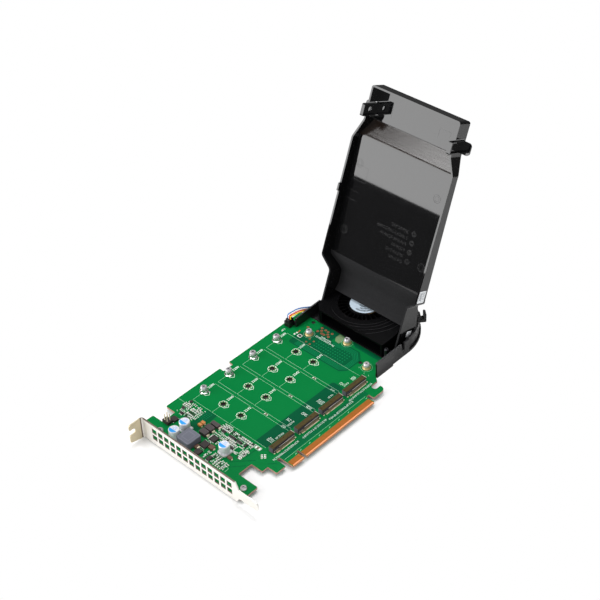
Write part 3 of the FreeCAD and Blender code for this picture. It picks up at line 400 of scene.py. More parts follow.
touch("slot_bracket", SHEET_EDGE, lambda centre, normal: abs(normal.x) < HALF and centre.x > UPRIGHT_X)
touch("slot_bracket", NICKEL_SHEET, lambda centre, normal: abs(normal.x) < HALF and centre.y < TONGUE_ROOT_Y)
touch("slot_bracket", NICKEL_TAB_SHADE, lambda centre, normal: centre.x < BENT_TAB_X)
touch("tantalum_capacitors", TANTALUM_DARK, lambda centre, normal: centre.x < UMBER_X)
touch("blower_base", FAN_HIGHLIGHT, lambda centre, normal: normal.z > FLAT and centre.z > BASE_RIM_Z)
for name in SOCKETS:
    touch(name, SOCKET_END, lambda centre, normal: normal.x < -HALF)
print("bracket finishes:", len(NODES["slot_bracket"].data.materials))

# %% [markdown]
# The cover stands open here, leaning over its hinge. A place on it is easier to name after turning it
# shut, when its plate lies above the board, so both tests below turn the centre and the normal first.

# %% Ramps of the cover
HINGE = Vector((124.9, 0.0, 3.6))
OPEN_ANGLE = math.radians(112.6)
OPEN_TURN = (Matrix.Translation(HINGE * MM) @ Matrix.Rotation(OPEN_ANGLE, 4, "Y")
             @ Matrix.Translation(-HINGE * MM))
SHUT_TURN = OPEN_TURN.inverted()
RAMP_X = (-28.2, -14.8)
RAMP_Z = (5, 15)
BLOWER_SIDE_X = 80
BLOWER_SIDE_Y = (8, 101)


def turned_shut(centre, normal):
    """The same place and direction with the cover shut."""
    return SHUT_TURN @ (centre * MM) / MM, SHUT_TURN.to_3x3() @ normal


def on_ramp(centre, normal):
    """True on the slope between the plate and the raised end of the cover."""
    shut, leans = turned_shut(centre, normal)
    inside = RAMP_X[0] < shut.x < RAMP_X[1] and RAMP_Z[0] < shut.z < RAMP_Z[1]
    return inside and abs(leans.y) < 0.3 and leans.z < -0.3 and abs(leans.x) > 0.2


def over_blower(centre, normal):
    """True on the inner skin that lies over the blower."""
    shut, leans = turned_shut(centre, normal)
    inside = shut.x > BLOWER_SIDE_X and BLOWER_SIDE_Y[0] < shut.y < BLOWER_SIDE_Y[1]
    return inside and abs(leans.y) < HALF and leans.z < 0.3


touch("shroud_cover", COVER_RAMP, on_ramp)
touch("shroud_cover", COVER_MATTE, over_blower)
print("cover finishes:", len(NODES["shroud_cover"].data.materials))


# %% [markdown]
# ## Thin marks on the board
# Ink, pads and changes of mask lie on the board as slabs a few hundredths of a millimetre thick. They
# could be painted in a material, but a slab has sharp edges at any distance and goes with the part when
# it is exported. A Layer gathers all slabs of one finish in one mesh, made with bmesh operators, and
# rides on one body.

# %% Layer of slabs
INK_THICK = 0.03
ZONE_THICK = 0.01


class Layer:
    def __init__(self, name, material, body="card", base=0.0, thick=INK_THICK):
        self.name, self.material, self.body = name, material, body
        self.base, self.thick = base, thick
        self.mesh = bmesh.new()

    def line(self, start, end, width):
        """A bar from start to end that reaches half its width past both."""
        a, b = Vector(start), Vector(end)
        run = b - a
        middle = (a + b) / 2
        place = Matrix.Translation(Vector((middle.x, middle.y, self.base + self.thick / 2)) * MM)
        spin = Matrix.Rotation(math.atan2(run.y, run.x), 4, "Z")
        size = Matrix.Diagonal(Vector((run.length + width, width, self.thick, 1000)) * MM)
        bmesh.ops.create_cube(self.mesh, size=1.0, matrix=place @ spin @ size)

    def path(self, points, width):
        for start, end in zip(points, points[1:]):
            self.line(start, end, width)

    def rectangle(self, x0, x1, y0, y1, width):
        self.path([(x0, y0), (x1, y0), (x1, y1), (x0, y1), (x0, y0)], width)

    def box(self, x0, x1, y0, y1, z0, z1):
        middle = Vector((x0 + x1, y0 + y1, z0 + z1)) / 2 * MM
        size = Matrix.Diagonal(Vector((x1 - x0, y1 - y0, z1 - z0, 1000)) * MM)
        bmesh.ops.create_cube(self.mesh, size=1.0, matrix=Matrix.Translation(middle) @ size)

    def brick(self, x, y, half_x, half_y, top):
        """A box that stands on the board round a middle point."""
        self.box(x - half_x, x + half_x, y - half_y, y + half_y, 0.0, top)

    def sheet(self, points):
        """A flat sheet with the outline that the corner points give."""
        corners = [self.mesh.verts.new(Vector((x, y, self.base)) * MM) for x, y in points]
        face = self.mesh.faces.new(corners)
        raised = bmesh.ops.extrude_face_region(self.mesh, geom=[face])["geom"]
        tops = [item for item in raised if isinstance(item, bmesh.types.BMVert)]
        bmesh.ops.translate(self.mesh, verts=tops, vec=(0, 0, self.thick * MM))

    def disc(self, x, y, radius, inner=0.0, sides=24):
        """A flat disc, or a ring when it has an inner radius."""
        start = Vector((x, y, self.base)) * MM
        if not inner:
            place = Matrix.Translation(start + Vector((0, 0, self.thick / 2)) * MM)
            bmesh.ops.create_cone(self.mesh, cap_ends=True, segments=sides, radius1=radius * MM,
                                  radius2=radius * MM, depth=self.thick * MM, matrix=place)
            return
        corners = [self.mesh.verts.new(start + Vector((r, 0, z)) * MM)
                   for r, z in ((inner, 0), (radius, 0), (radius, self.thick), (inner, self.thick))]
        face = self.mesh.faces.new(corners)
        bmesh.ops.spin(self.mesh, geom=[face] + list(face.edges) + corners, cent=start, axis=(0, 0, 1),
                       angle=math.tau, steps=sides, use_merge=True)
        bmesh.ops.delete(self.mesh, geom=[face], context="FACES_ONLY")

    def done(self, turn=None):
        """Makes the object, after a last turn of the whole layer where one is given."""
        if turn:
            bmesh.ops.transform(self.mesh, matrix=turn, verts=self.mesh.verts)
        bmesh.ops.recalc_face_normals(self.mesh, faces=self.mesh.faces)
        data = bpy.data.meshes.new(self.name)
        self.mesh.to_mesh(data)
        self.mesh.free()
        data.materials.append(self.material)
        piece = bpy.data.objects.new(self.name, data)
        bpy.context.scene.collection.objects.link(piece)
        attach(piece, self.body)
        print(self.name, "faces", len(data.polygons))
        return piece


# %% [markdown]
# ## Areas of other mask
# Tracks and planes show through the lacquer as areas of another green: a long dark band behind the
# sockets, a field of fine tracks near the bracket and a large one near the blower. Each is one flat
# sheet. Near the bracket a few broad tracks run on the slant.

# %% Dark band and broad tracks
TRACK_WIDE = 0.45
BROAD_TRACKS = ([(-44, 26.5), (-33.5, 16.8)], [(-22.3, 6.5), (-18, 2.5)],
                [(-39, 28.5), (-25.5, 15.5)], [(-16.1, 6.5), (-14, 4.5)])
bands = Layer("mask_bands", MASK_DARK, thick=ZONE_THICK)
bands.sheet([(-12, 17.9), (67.2, 17.9), (68.6, 19.3), (68.6, 27.5), (67.2, 28.9), (-12, 28.9)])
bands.sheet([(101, 60.9), (111.5, 60.9), (111.5, 77.7), (101, 77.7)])
for points in BROAD_TRACKS:
    bands.path(points, TRACK_WIDE)
bands.path([(-27, 22.5), (-19, 22.5), (-12.6, 15.8)], 0.5)
bands.done()

# %% [markdown]
# Before the sockets, where all tracks turn towards the fingers, the board is a middle green. The fields
# near the bracket and the blower have cut corners, like the planes under them, and a narrow strip of the
# same green beside the blower's wall is painted shade.

# %% Front band and fields of fine tracks
FIELD_LEFT, FIELD_RIGHT, FIELD_FRONT, FIELD_BACK = 79.8, 106, 29, 85.9
front = Layer("mask_front_band", MASK_FRONT, thick=ZONE_THICK)
front.sheet([(-12, 1.2), (76, 1.2), (76, 7.2), (-12, 7.2)])
front.done()
teal = Layer("mask_fine_tracks_and_painted_shade", MASK_TEAL, thick=ZONE_THICK)
teal.sheet([(-33, 66.9), (-12.6, 66.9), (-12.6, 76.9), (-30, 76.9), (-33, 74)])
teal.sheet([(FIELD_LEFT, 33.5), (84.3, FIELD_FRONT), (99.5, FIELD_FRONT), (FIELD_RIGHT, 35.5),
            (FIELD_RIGHT, 46), (101, 60.5), (101, 78), (93, FIELD_BACK), (81.5, FIELD_BACK),
            (FIELD_LEFT, 84.2)])
# Painted shade: the blower's wall darkens the board in this narrow strip.
teal.sheet([(107.8, 16.0), (111.6, 16.0), (111.6, 45.8), (109.6, 45.2), (107.8, 42.0)])
teal.done()

# %% [markdown]
# Four tracks are nested inside the edge of the large field, each a little further in than the last, so
# one path with a growing inset draws them all.

# %% Nested tracks
nested = Layer("nested_tracks", MASK_LIGHT, base=ZONE_THICK, thick=ZONE_THICK)
for inset in (1.6, 2.7, 3.8, 4.9):
    left, right, near = FIELD_LEFT + inset, FIELD_RIGHT - inset, FIELD_FRONT + inset
    nested.path([(left, 80), (left, 34.2 + inset * 0.5), (84.9 + inset * 0.5, near),
                 (98.9 - inset * 0.5, near), (right, 36 + inset * 0.5), (right, 46),
                 (102.6 - inset, 58)], 0.4)
nested.done()

# %% [markdown]
# Vias are small plated holes under the lacquer. From here each is a pale dot, and eight sides are
# enough for one.

# %% Vias
VIA_START_Y, VIA_PITCH = 38.4, 2.4
VIA_SIDES = 8
CORNER_X, CORNER_Y, CORNER_PITCH = -23, 71, 1.7
vias = Layer("vias", MASK_LIGHT, base=ZONE_THICK, thick=ZONE_THICK)
for columns, rows, radius in (((89.4, 92.0, 94.6, 97.2), 13, 0.55), ((99.8, 87.0), 5, 0.5)):
    for x in columns:
        for row in range(rows):
            vias.disc(x, VIA_START_Y + VIA_PITCH * row, radius, sides=VIA_SIDES)
for column in range(6):
    for row in range(4):
        x, y = CORNER_X + CORNER_PITCH * column, CORNER_Y + CORNER_PITCH * row
        vias.disc(x, y, 0.4, sides=VIA_SIDES)
vias.done()

# %% [markdown]
# ## Painted shade along the top of the bracket
# A thin dark line of painted shade runs along the top edge of the bracket's outer face. The CAD sheet has a
# sharp edge, and its faces are too long to colour only a strip, so the line is a slab.

# %% Painted shade along the bracket's top
TOP_SHADE_X, TOP_SHADE_Y, TOP_SHADE_Z = (-58.73, -58.7), (0.8, 93.6), (14.6, 15.2)
top_shade = Layer("bracket_top_painted_shade", SHEET_EDGE)
top_shade.box(*TOP_SHADE_X, *TOP_SHADE_Y, *TOP_SHADE_Z)
top_shade.done()

# %% [markdown]
# ## Ground and bevel of the gold fingers
# Between the gold fingers the board is a dull gold brown, and past their tips a milled bevel carries a
# painted orange highlight where it catches the light. Both run in two groups, left and right of the key
# notch. A colour on the faces of the CAD board would need faces that end there, so both are thin slabs.

# %% Ground and bevel
FINGER_GROUPS = ((-11.9, -1.2), (1.2, 71.9))
FINGER_ROOT_Y, FINGER_TIP_Y, EDGE_Y = -2.65, -7.0, -8.2
ground = Layer("finger_ground", FINGER_GROUND, thick=ZONE_THICK)
bevel = Layer("finger_bevel", FINGER_EDGE, thick=INK_THICK)
for x0, x1 in FINGER_GROUPS:
    ground.box(x0, x1, FINGER_TIP_Y, FINGER_ROOT_Y, 0.0, ZONE_THICK)
    bevel.box(x0, x1, EDGE_Y, FINGER_TIP_Y, 0.0, INK_THICK)
ground.done()
bevel.done()

# %% [markdown]
# ## White marking ink
# Each module bay is framed by thin lines, with a line from the left edge to each hole and the module's
# length in plain digits beside it. The ink is silk-screened, so its lines are even and a little raised.
# Straight slabs are the plainest way to draw them.

# %% Frames of the module bays
INK_WIDE = 0.22
FRAME_LEFT, FRAME_RIGHT = 11.2, 11.3
FRAME_STARTS = (18.6, 56.0, 74.0)
HOLE_CLEAR, ROW_CLEAR = 3.9, 0.2
ink = Layer("board_lines", THIN_INK)
for column in COLUMNS:
    left, right = column - FRAME_LEFT, column + FRAME_RIGHT
    for start, end in zip(FRAME_STARTS, ROWS):
        for x in (left, right):
            ink.line((x, start), (x, end - ROW_CLEAR), INK_WIDE)
    for y in ROWS:
        ink.line((left, y), (column - HOLE_CLEAR, y), INK_WIDE)
print("framed bays:", len(COLUMNS))

# %% [markdown]
# One line runs along the fingers with a short stroke at about every tenth one, and thin rings and
# strokes stand near the ends of the board. They are slabs of the same layer.

# %% Other thin ink lines
COUNTING_X = (-2.4, 2.5, 11.6, 21.6, 32.2, 42.0, 52.0, 71.5)
SHORT_STROKES = ((100.7, 20.2), (92.4, 24.5), (90.0, 17.5), (90.3, 13.3))
THIN_RINGS = ((96.5, 79.1), (107.7, 50.1), (96.4, 20.6))
ink.line((-11.6, 0.7), (72.4, 0.7), INK_WIDE)
for x in COUNTING_X:
    ink.line((x - 0.6, -1.4), (x + 0.5, -1.0), 0.45)
ink.line((-18.0, 95.4), (-18.0, 102.0), INK_WIDE)
ink.path([(-46.9, 23.6), (-43.7, 23.6), (-42.6, 25.1)], 0.3)
for x, y in SHORT_STROKES:
    ink.line((x, y), (x + 0.9, y + 0.7), 0.3)
for x, y in THIN_RINGS:
    ink.disc(x, y, 4.5, inner=4.3, sides=32)
ink.done()

# %% [markdown]
# Short rows of plain ticks stand beside the bays, about 1.4 mm high. Each sign is three of five strokes.
# A seeded random choice makes every sign another one, and the same ones on every run.

# %% Ticks
rng = random.Random(7)
STROKES = [((-0.25, -0.45), (-0.25, 0.45)), ((0.22, -0.45), (0.22, 0.45)), ((-0.25, 0.42), (0.22, 0.42)),
           ((-0.25, 0.0), (0.22, 0.0)), ((-0.25, -0.42), (0.22, -0.42))]
STROKES_PER_SIGN = 3
TICK_WIDE = 0.2


def ticks(layer, x0, x1, y, high, upright=False):
    """A row of signs from x0 to x1 at y. Upright swaps X and Y, so that the row runs along Y."""
    pitch = high * 0.9
    for step in range(int((x1 - x0) / pitch)):
        at = x0 + (step + 0.5) * pitch
        for (ax, ay), (bx, by) in rng.sample(STROKES, STROKES_PER_SIGN):
            start, end = (at + ax * high, y + ay * high), (at + bx * high, y + by * high)
            if upright:
                start, end = start[::-1], end[::-1]
            layer.line(start, end, TICK_WIDE)


# %% [markdown]
# The rows before the sockets are single ones, and the blocks behind them hold one to three rows each.
# A row is given by where it starts and ends in X and by its Y, and a block by its X and Y limits.

# %% Rows and blocks of ticks
FRONT_ROWS = ((-17.6, 8.6, 6.0), (11.5, 37.6, 5.8), (37.6, 63.6, 4.2), (60.8, 87.2, 6.4))
BLOCKS = ((-6.4, -1.9, 18.6, 24.0), (-1.4, 7.9, 18.3, 20.6), (13.3, 20.8, 20.9, 23.2),
          (17.2, 21.0, 23.8, 27.6), (28.6, 32.4, 18.8, 23.6), (44.9, 50.2, 18.4, 24.2),
          (53.3, 59.0, 18.6, 21.2), (70.2, 76.6, 18.6, 20.8), (69.8, 73.0, 21.0, 24.4),
          (79.2, 84.6, 18.6, 21.6), (9.6, 12.6, 22.0, 25.6), (35.8, 38.6, 21.2, 26.0),
          (61.2, 63.8, 21.2, 25.6))
ROW_PITCH = 1.9
ink = Layer("board_ticks", INK)
for x0, x1, y in FRONT_ROWS:
    ticks(ink, x0, x1, y, 1.65)
for x0, x1, y0, y1 in BLOCKS:
    rows = max(1, round((y1 - y0) / ROW_PITCH))
    for row in range(rows):
        ticks(ink, x0, x1, y0 + (row + 0.5) * (y1 - y0) / rows, 1.5)
ticks(ink, 55.0, 74.0, 98.2, 1.5, upright=True)
ticks(ink, 60.0, 71.0, 100.2, 1.4, upright=True)
ticks(ink, 85.0, 90.5, 97.6, 1.6)
ink.done()


# %% [markdown]
# Blender's own typeface gives the digits. A text object is turned into a mesh before it is placed, so
# that its place is in the mesh and the object stays at the origin.

# %% Row numbers
DIGIT_SIZE = 2.9
DIGIT_BOLD = 0.01
DIGIT_RIGHT, DIGIT_DOWN = 4.6, 0.3


def digits(text, x, y):
    curve = bpy.data.curves.new("digits", "FONT")
    curve.body = text
    curve.size = DIGIT_SIZE * MM
    curve.extrude = INK_THICK / 2 * MM
    curve.offset = DIGIT_BOLD * MM
    curve.resolution_u = 2
    curve.space_character = 1.05
    writing = bpy.data.objects.new("digits", curve)
    bpy.context.scene.collection.objects.link(writing)
    bpy.context.view_layer.update()
    data = bpy.data.meshes.new_from_object(writing)
    bpy.data.objects.remove(writing)
    data.transform(Matrix.Translation(Vector((x, y, INK_THICK / 2)) * MM))
    piece = bpy.data.objects.new("mark_%s_%d" % (text, round(x)), data)
    data.materials.clear()
    data.materials.append(INK)
    bpy.context.scene.collection.objects.link(piece)
    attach(piece, "card")


for column in COLUMNS:
    for y, code in ROWS.items():
        digits(code, column + DIGIT_RIGHT, y - DIGIT_DOWN)
print("row numbers:", len(COLUMNS) * len(ROWS))


# %% [markdown]
# ## Holes and pads
# Eight tinned pads stand round each module hole in the two front rows, inside a thin ink octagon with a
# small V below it. The posts cover the pads of the far row. A ring with eight sides is an octagon, and
# `around` gives the point at an angle on a circle, which many of the round marks below need too.

# %% Hole pads
POST_ROW = 92.85
PADS_PER_HOLE = 8
PAD_INSIDE, PAD_OUTSIDE, PAD_WIDE = 2.45, 2.7, 0.55
OCTAGON_INSIDE, OCTAGON_OUTSIDE = 3.3, 3.55


def around(x, y, radius, degrees):
    turn = math.radians(degrees)
    return x + radius * math.cos(turn), y + radius * math.sin(turn)


crowns = Layer("hole_pads", SOLDER_CREAM, thick=0.05)
outline = Layer("hole_outlines", INK)
for column in COLUMNS:
    for y in ROWS:
        for step in range(PADS_PER_HOLE if y != POST_ROW else 0):
            angle = 45 * step + 22.5
            start, end = around(column, y, PAD_INSIDE, angle), around(column, y, PAD_OUTSIDE, angle)
            crowns.line(start, end, PAD_WIDE)
        outline.disc(column, y, OCTAGON_OUTSIDE, inner=OCTAGON_INSIDE, sides=8)
        outline.path([(column - 2.6, y - 3.2), (column, y - 5.4), (column + 2.6, y - 3.2)], 0.28)
crowns.done()
outline.done()

# %% [markdown]
# The blower's end has bare copper test pads, each with a hole in the middle, and one pale patch where a
# tinned plane lies under the lacquer.

# %% Test pads and pale patch
TEST_PADS = ((103.2, 76.5), (108.2, 76.3), (103.2, 72.4), (108.0, 72.4), (103.2, 69.9), (107.6, 69.6),
             (103.5, 65.6), (108.2, 65.8), (102.1, 85.4), (105.6, 74.4), (105.4, 67.8), (103.2, 71.2))
SMALL_TEST_PADS = ((88.5, 74.7), (92.6, 74.9), (88.2, 70.7), (92.4, 70.4))
patch = Layer("pale_patch", PALE_PATCH, thick=ZONE_THICK)
patch.sheet([(103.0, 54.4), (106.0, 54.2), (111.5, 56.0), (111.5, 61.0), (107.5, 61.5), (103.6, 58.6)])
patch.done()
pads = Layer("test_pads", COPPER_PAD)
for places, radius, inner in ((TEST_PADS, 1.0, 0.45), (SMALL_TEST_PADS, 0.75, 0.4)):
    for x, y in places:
        pads.disc(x, y, radius, inner=inner, sides=16)
pads.line((92.6, 86.8), (95.0, 87.4), 0.9)
pads.done()

# %% [markdown]
# ## Module sockets
# A film that a placing machine grips covers almost the whole socket top, with fine dark ribs across it.
# The new film stands for the CAD one, which is shorter. On the front face a pale bar, a painted highlight
# on the edge of the step, runs above the contact tails, and cream solder lies at their feet and at the
# corners. The feet end just short of the wall of the shut cover, at Y 8.8.

# %% Socket details
SOCKET_TOP, SOCKET_FRONT = 4.2, 10.2
FILM_X, FILM_Y, FILM_THICK = (-11.6, 9.5), (10.8, 14.6), 0.08
FILM_TOP = SOCKET_TOP + FILM_THICK
RIB_COUNT, RIB_PITCH, RIB_WIDE = 20, 1.05, 0.35
FOOT_Y = (8.88, 9.35)
films = Layer("socket_films", FILM_AMBER, base=SOCKET_TOP, thick=FILM_THICK)
bars = Layer("socket_step_highlights", SOCKET_STEP)
dark = Layer("socket_ribs", CERAMIC_DARK)
feet = Layer("contact_feet", SOLDER_CREAM)
for column in COLUMNS:
    left, right = (column + x for x in FILM_X)
    near, far = FILM_Y
    films.sheet([(left, near), (right, near), (right, far), (left, far)])
    for x0, x1, z0, z1 in ((-6.0, 8.9, 2.5, 2.95), (-11.6, -7.4, 1.75, 1.95)):
        bars.box(column + x0, column + x1, SOCKET_FRONT - 0.16, SOCKET_FRONT, z0, z1)
    bars.box(column + 9.55, column + 9.85, SOCKET_FRONT, 14.8, SOCKET_TOP, SOCKET_TOP + 0.05)
    for step in range(RIB_COUNT):
        x = column - 11.0 + RIB_PITCH * step
        dark.box(x, x + RIB_WIDE, 10.75, 14.65, FILM_TOP, SOCKET_TOP + 0.1)
    for x0, x1 in ((-9.6, -6.6), (-4.8, 7.9)):
        feet.box(column + x0, column + x1, *FOOT_Y, 0.0, 0.25)
    for x in (column - 11.9, column + 9.0):
        feet.box(x, x + 1.0, 9.5, 10.15, 0.0, 0.4)
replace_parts(films.done(), "pickup_films")
bars.done()
dark.done()
feet.done()


# %% [markdown]
# ## Small parts
# A chip capacitor or resistor is a ceramic brick with a tinned cap at each end. The CAD already holds
# the larger ones, joined in one node. Their places could be typed here again, but it is surer to measure
# them: `solids` walks over connected vertices and gives the box of each separate solid.

# %% Boxes of the solids of a node
def solids(name):
    mesh = bmesh.new()
    mesh.from_mesh(NODES[name].data)
    bmesh.ops.remove_doubles(mesh, verts=mesh.verts, dist=1e-6)
    seen = set()
    boxes = []
    for vert in mesh.verts:
        if vert.index in seen:
            continue
        seen.add(vert.index)
        group, stack = [], [vert]
        while stack:
            here = stack.pop()
            group.append(here.co / MM)
            for edge in here.link_edges:
                other = edge.other_vert(here)
                if other.index not in seen:
                    seen.add(other.index)
                    stack.append(other)
        low = Vector([min(p[k] for p in group) for k in range(3)])
        high = Vector([max(p[k] for p in group) for k in range(3)])
        boxes.append((low, high))
    mesh.free()
    return boxes


bricks = solids("small_passives")
print("small parts in the CAD:", len(bricks))

# %% [markdown]
# Small parts of one size come in several kinds. A random number for each brick makes it tan, dark or
# pale, and decides whether it gets tinned caps. A cap stands a hair proud of the brick on all sides.

# %% Kinds and caps of small parts
TAN_BRICK_BELOW, DARK_BRICK_BELOW, CAPPED_BELOW = 0.3, 0.8, 0.65
CAP_OUTSIDE, CAP_INSIDE, CAP_SIDE, CAP_LIFT = 0.28, 0.22, 0.06, 0.04
ends = Layer("passive_ends", TINNED)


def cap_ends(low, high):
    """Tinned caps on the two ends of a small part's longer side."""
    if high.x - low.x >= high.y - low.y:
        for x in (low.x, high.x):
            ends.box(x - CAP_OUTSIDE, x + CAP_INSIDE, low.y - CAP_SIDE, high.y + CAP_SIDE,
                     0.0, high.z + CAP_LIFT)
    else:
        for y in (low.y, high.y):
            ends.box(low.x - CAP_SIDE, high.x + CAP_SIDE, y - CAP_OUTSIDE, y + CAP_INSIDE,
                     0.0, high.z + CAP_LIFT)


kinds = [rng.random() for brick in bricks]
passives = NODES["small_passives"].data
for material in (CERAMIC_DARK, BASE_GREY):
    passives.materials.append(material)
for polygon in passives.polygons:
    centre = polygon.center / MM
    for kind, (low, high) in zip(kinds, bricks):
        if all(low[k] - 0.01 <= centre[k] <= high[k] + 0.01 for k in range(3)):
            polygon.material_index = 0 if kind < TAN_BRICK_BELOW else 1 if kind < DARK_BRICK_BELOW else 2
for kind, (low, high) in zip(kinds, bricks):
    if kind < CAPPED_BELOW:
        cap_ends(low, high)
print("capped parts:", sum(kind < CAPPED_BELOW for kind in kinds))

# %% [markdown]
# The finer parts fill the areas between them. They are placed on a jittered grid from a fixed seed, which
# looks as crowded as the real board without a list of hundreds of places. A place that comes within a
# third of a millimetre of another part is left empty. Each area is given by its limits in X and Y and by
# its grid steps along both.

# %% Dense areas of fine parts
AREAS = ((-33.4, -22.3, 23.2, 29.0, 1.5, 1.5), (-22.3, -14.2, 25.0, 48.3, 2.0, 1.7),
         (-27.4, -22.0, 34.6, 49.0, 1.7, 1.5), (-15.8, -13.0, 47.6, 57.6, 1.3, 1.9),
         (-28.0, -14.4, 76.0, 95.0, 1.7, 1.8), (-47.4, -39.0, 25.6, 41.5, 1.8, 1.8),
         (-47.4, -38.0, 43.2, 48.2, 1.8, 1.7), (-33.0, -21.6, 46.6, 56.4, 1.8, 1.6),
         (-22.3, -13.4, 49.0, 58.0, 1.8, 1.8), (-35.5, -33.6, 49.0, 56.0, 1.6, 1.7),
         (-31.0, -27.4, 29.5, 33.0, 1.6, 1.5))
CLEARANCE = 0.3
TAKEN_BY = ("small_passives", "power_choke", "capacitor_bases", "chip_packages", "power_blocks",
            "tantalum_capacitors", "pin_header_base", "bracket_screws")
taken = [box for name in TAKEN_BY for box in solids(name)]


def is_free(x0, x1, y0, y1):
    return all(x1 + CLEARANCE < low.x or x0 - CLEARANCE > high.x
               or y1 + CLEARANCE < low.y or y0 - CLEARANCE > high.y for low, high in taken)


print("places taken:", len(taken))

# %% [markdown]
# A second random number picks what stands in a place: nothing, an ink sign, two bare solder lands, or a
# tan or dark brick with its caps.

# %% Fine parts
JITTER = 0.12
LENGTHWISE_BELOW = 0.6
SIGN_STRETCH = 1.3
EMPTY_BELOW, SIGN_BELOW, LANDS_BELOW, TAN_BELOW = 0.16, 0.34, 0.52, 0.66
LONG_HALF, SHORT_HALF, FINE_HIGH = 0.5, 0.28, 0.45
LAND_REACH, LAND_HALF, LAND_HIGH = 0.45, 0.3, 0.06
tan_bricks = Layer("tan_bricks", CERAMIC_TAN)
dark_bricks = Layer("dark_bricks", CERAMIC_DARK)
lands = Layer("solder_lands", TINNED, thick=LAND_HIGH)
outlines = Layer("part_outlines", INK)
count = 0
for x0, x1, y0, y1, step_x, step_y in AREAS:
    for row in range(int((y1 - y0) / step_y)):
        for place in range(int((x1 - x0) / step_x)):
            x = x0 + (place + 0.5) * step_x + rng.uniform(-JITTER, JITTER)
            y = y0 + (row + 0.5) * step_y + rng.uniform(-JITTER, JITTER)
            kind = rng.random()
            if kind < EMPTY_BELOW:
                continue
            along_x = rng.random() < LENGTHWISE_BELOW
            wide, deep = (LONG_HALF, SHORT_HALF) if along_x else (SHORT_HALF, LONG_HALF)
            if not is_free(x - wide, x + wide, y - deep, y + deep):
                continue
            count += 1
            low, high = Vector((x - wide, y - deep, 0)), Vector((x + wide, y + deep, FINE_HIGH))
            taken.append((low, high))
            if kind < SIGN_BELOW:
                for (ax, ay), (bx, by) in rng.sample(STROKES, STROKES_PER_SIGN):
                    start, end = (x + ax * SIGN_STRETCH, y + ay), (x + bx * SIGN_STRETCH, y + by)
                    outlines.line(start, end, TICK_WIDE)
            elif kind < LANDS_BELOW:
                for side in (-LAND_REACH, LAND_REACH):
                    dx, dy = (side, 0) if along_x else (0, side)
                    lands.brick(x + dx, y + dy, LAND_HALF, LAND_HALF, LAND_HIGH)
            else:
                layer = tan_bricks if kind < TAN_BELOW else dark_bricks
                layer.box(low.x, high.x, low.y, high.y, 0.0, FINE_HIGH)
                cap_ends(low, high)
print("fine parts", count)

# %% [markdown]
# One unfitted place near the bracket shows its bare green centre with six solder lands on each side.
# A land is left out where a part already stands.

# %% Unfitted place
for step in range(6):
    shift = -1.9 + 0.76 * step
    for x, y, long_x in ((-26.2 + shift, 28.7, False), (-26.2 + shift, 34.1, False),
                         (-29.0, 31.5 + shift, True), (-23.5, 31.5 + shift, True)):
        dx, dy = (0.4, 0.2) if long_x else (0.2, 0.4)
        if is_free(x - dx + CLEARANCE, x + dx - CLEARANCE, y - dy + CLEARANCE, y + dy - CLEARANCE):
            lands.brick(x, y, dx, dy, LAND_HIGH)
print("lands so far:", len(lands.mesh.faces) // 6)

# %% [markdown]
# The last small parts stand alone: one in an ink frame near the bracket, one in a solder frame near the
# blower, a pair of lands with a part between them in each gap between bays, and two dark squares.

# %% Single parts
for y in (20.9, 23.9):
    lands.box(-16.9, -14.9, y - 0.7, y + 0.7, 0.0, LAND_HIGH)
tan_bricks.box(-16.5, -15.3, 21.6, 23.2, 0.0, 0.5)
outlines.rectangle(-17.4, -14.4, 19.9, 25.0, 0.18)
for x, y in ((89.2, 87.6), (91.6, 87.2)):
    lands.brick(x, y, 0.7, 0.6, LAND_HIGH)
lands.rectangle(88.9, 91.7, 81.5, 84.6, 0.5)
dark_bricks.box(89.6, 91.0, 82.2, 83.9, 0.0, 0.5)
for column in COLUMNS[:3]:
    x0, x1 = column + 12.2, column + 13.3
    for y in (40.7, 43.1):
        lands.box(x0, x1, y - 0.35, y + 0.35, 0.0, LAND_HIGH)
    tan_bricks.box(x0, x1, 41.3, 42.5, 0.0, 0.5)
for x, y in ((-28.6, 82.9), (-14.6, 92.0)):
    dark_bricks.brick(x, y, 1.0, 1.0, 0.8)
for layer in (ends, tan_bricks, dark_bricks, lands, outlines):
    layer.done()

# %% [markdown]
# One part near the sockets stands at 45 degrees. Its six terminals are turned by hand: along and across
# are mixed with the sine of 45 degrees.

# %% Slanted part
SLANT = 0.707
SLANTED_X, SLANTED_Y = -19.4, 13.6
slanted = Layer("slanted_part", TINNED, thick=0.5)
for along in (-1.5, 0.0, 1.5):
    for across in (-1.1, 1.1):
        x, y = SLANTED_X + SLANT * (along - across), SLANTED_Y + SLANT * (along + across)
        slanted.line((x - 0.3, y + 0.3), (x + 0.3, y - 0.3), 0.6)
slanted.done()

# %% [markdown]
# ## Terminals and legs
# Tantalum and power parts have two broad terminals that reach out on the near and far side. Chips have a
# row of legs on each long side, about a millimetre apart. The boxes of the CAD solids place them all,
# apart from one lone terminal before the choke.

# %% Terminals
TERMINAL_INSET, TERMINAL_HIGH, OVERLAP = 0.26, 0.45, 0.05
tabs = Layer("block_terminals", SOLDER_CREAM)
for name, reach in (("tantalum_capacitors", 0.6), ("power_blocks", 1.0)):
    for low, high in solids(name):
        inset, tall = (high.x - low.x) * TERMINAL_INSET, (high.z - low.z) * TERMINAL_HIGH
        for y0, y1 in ((low.y - reach, low.y + OVERLAP), (high.y - OVERLAP, high.y + reach)):
            tabs.box(low.x + inset, high.x - inset, y0, y1, 0.0, tall)
tabs.box(-44.6, -42.2, 53.0, 53.9, 0.0, 1.4)
tabs.done()

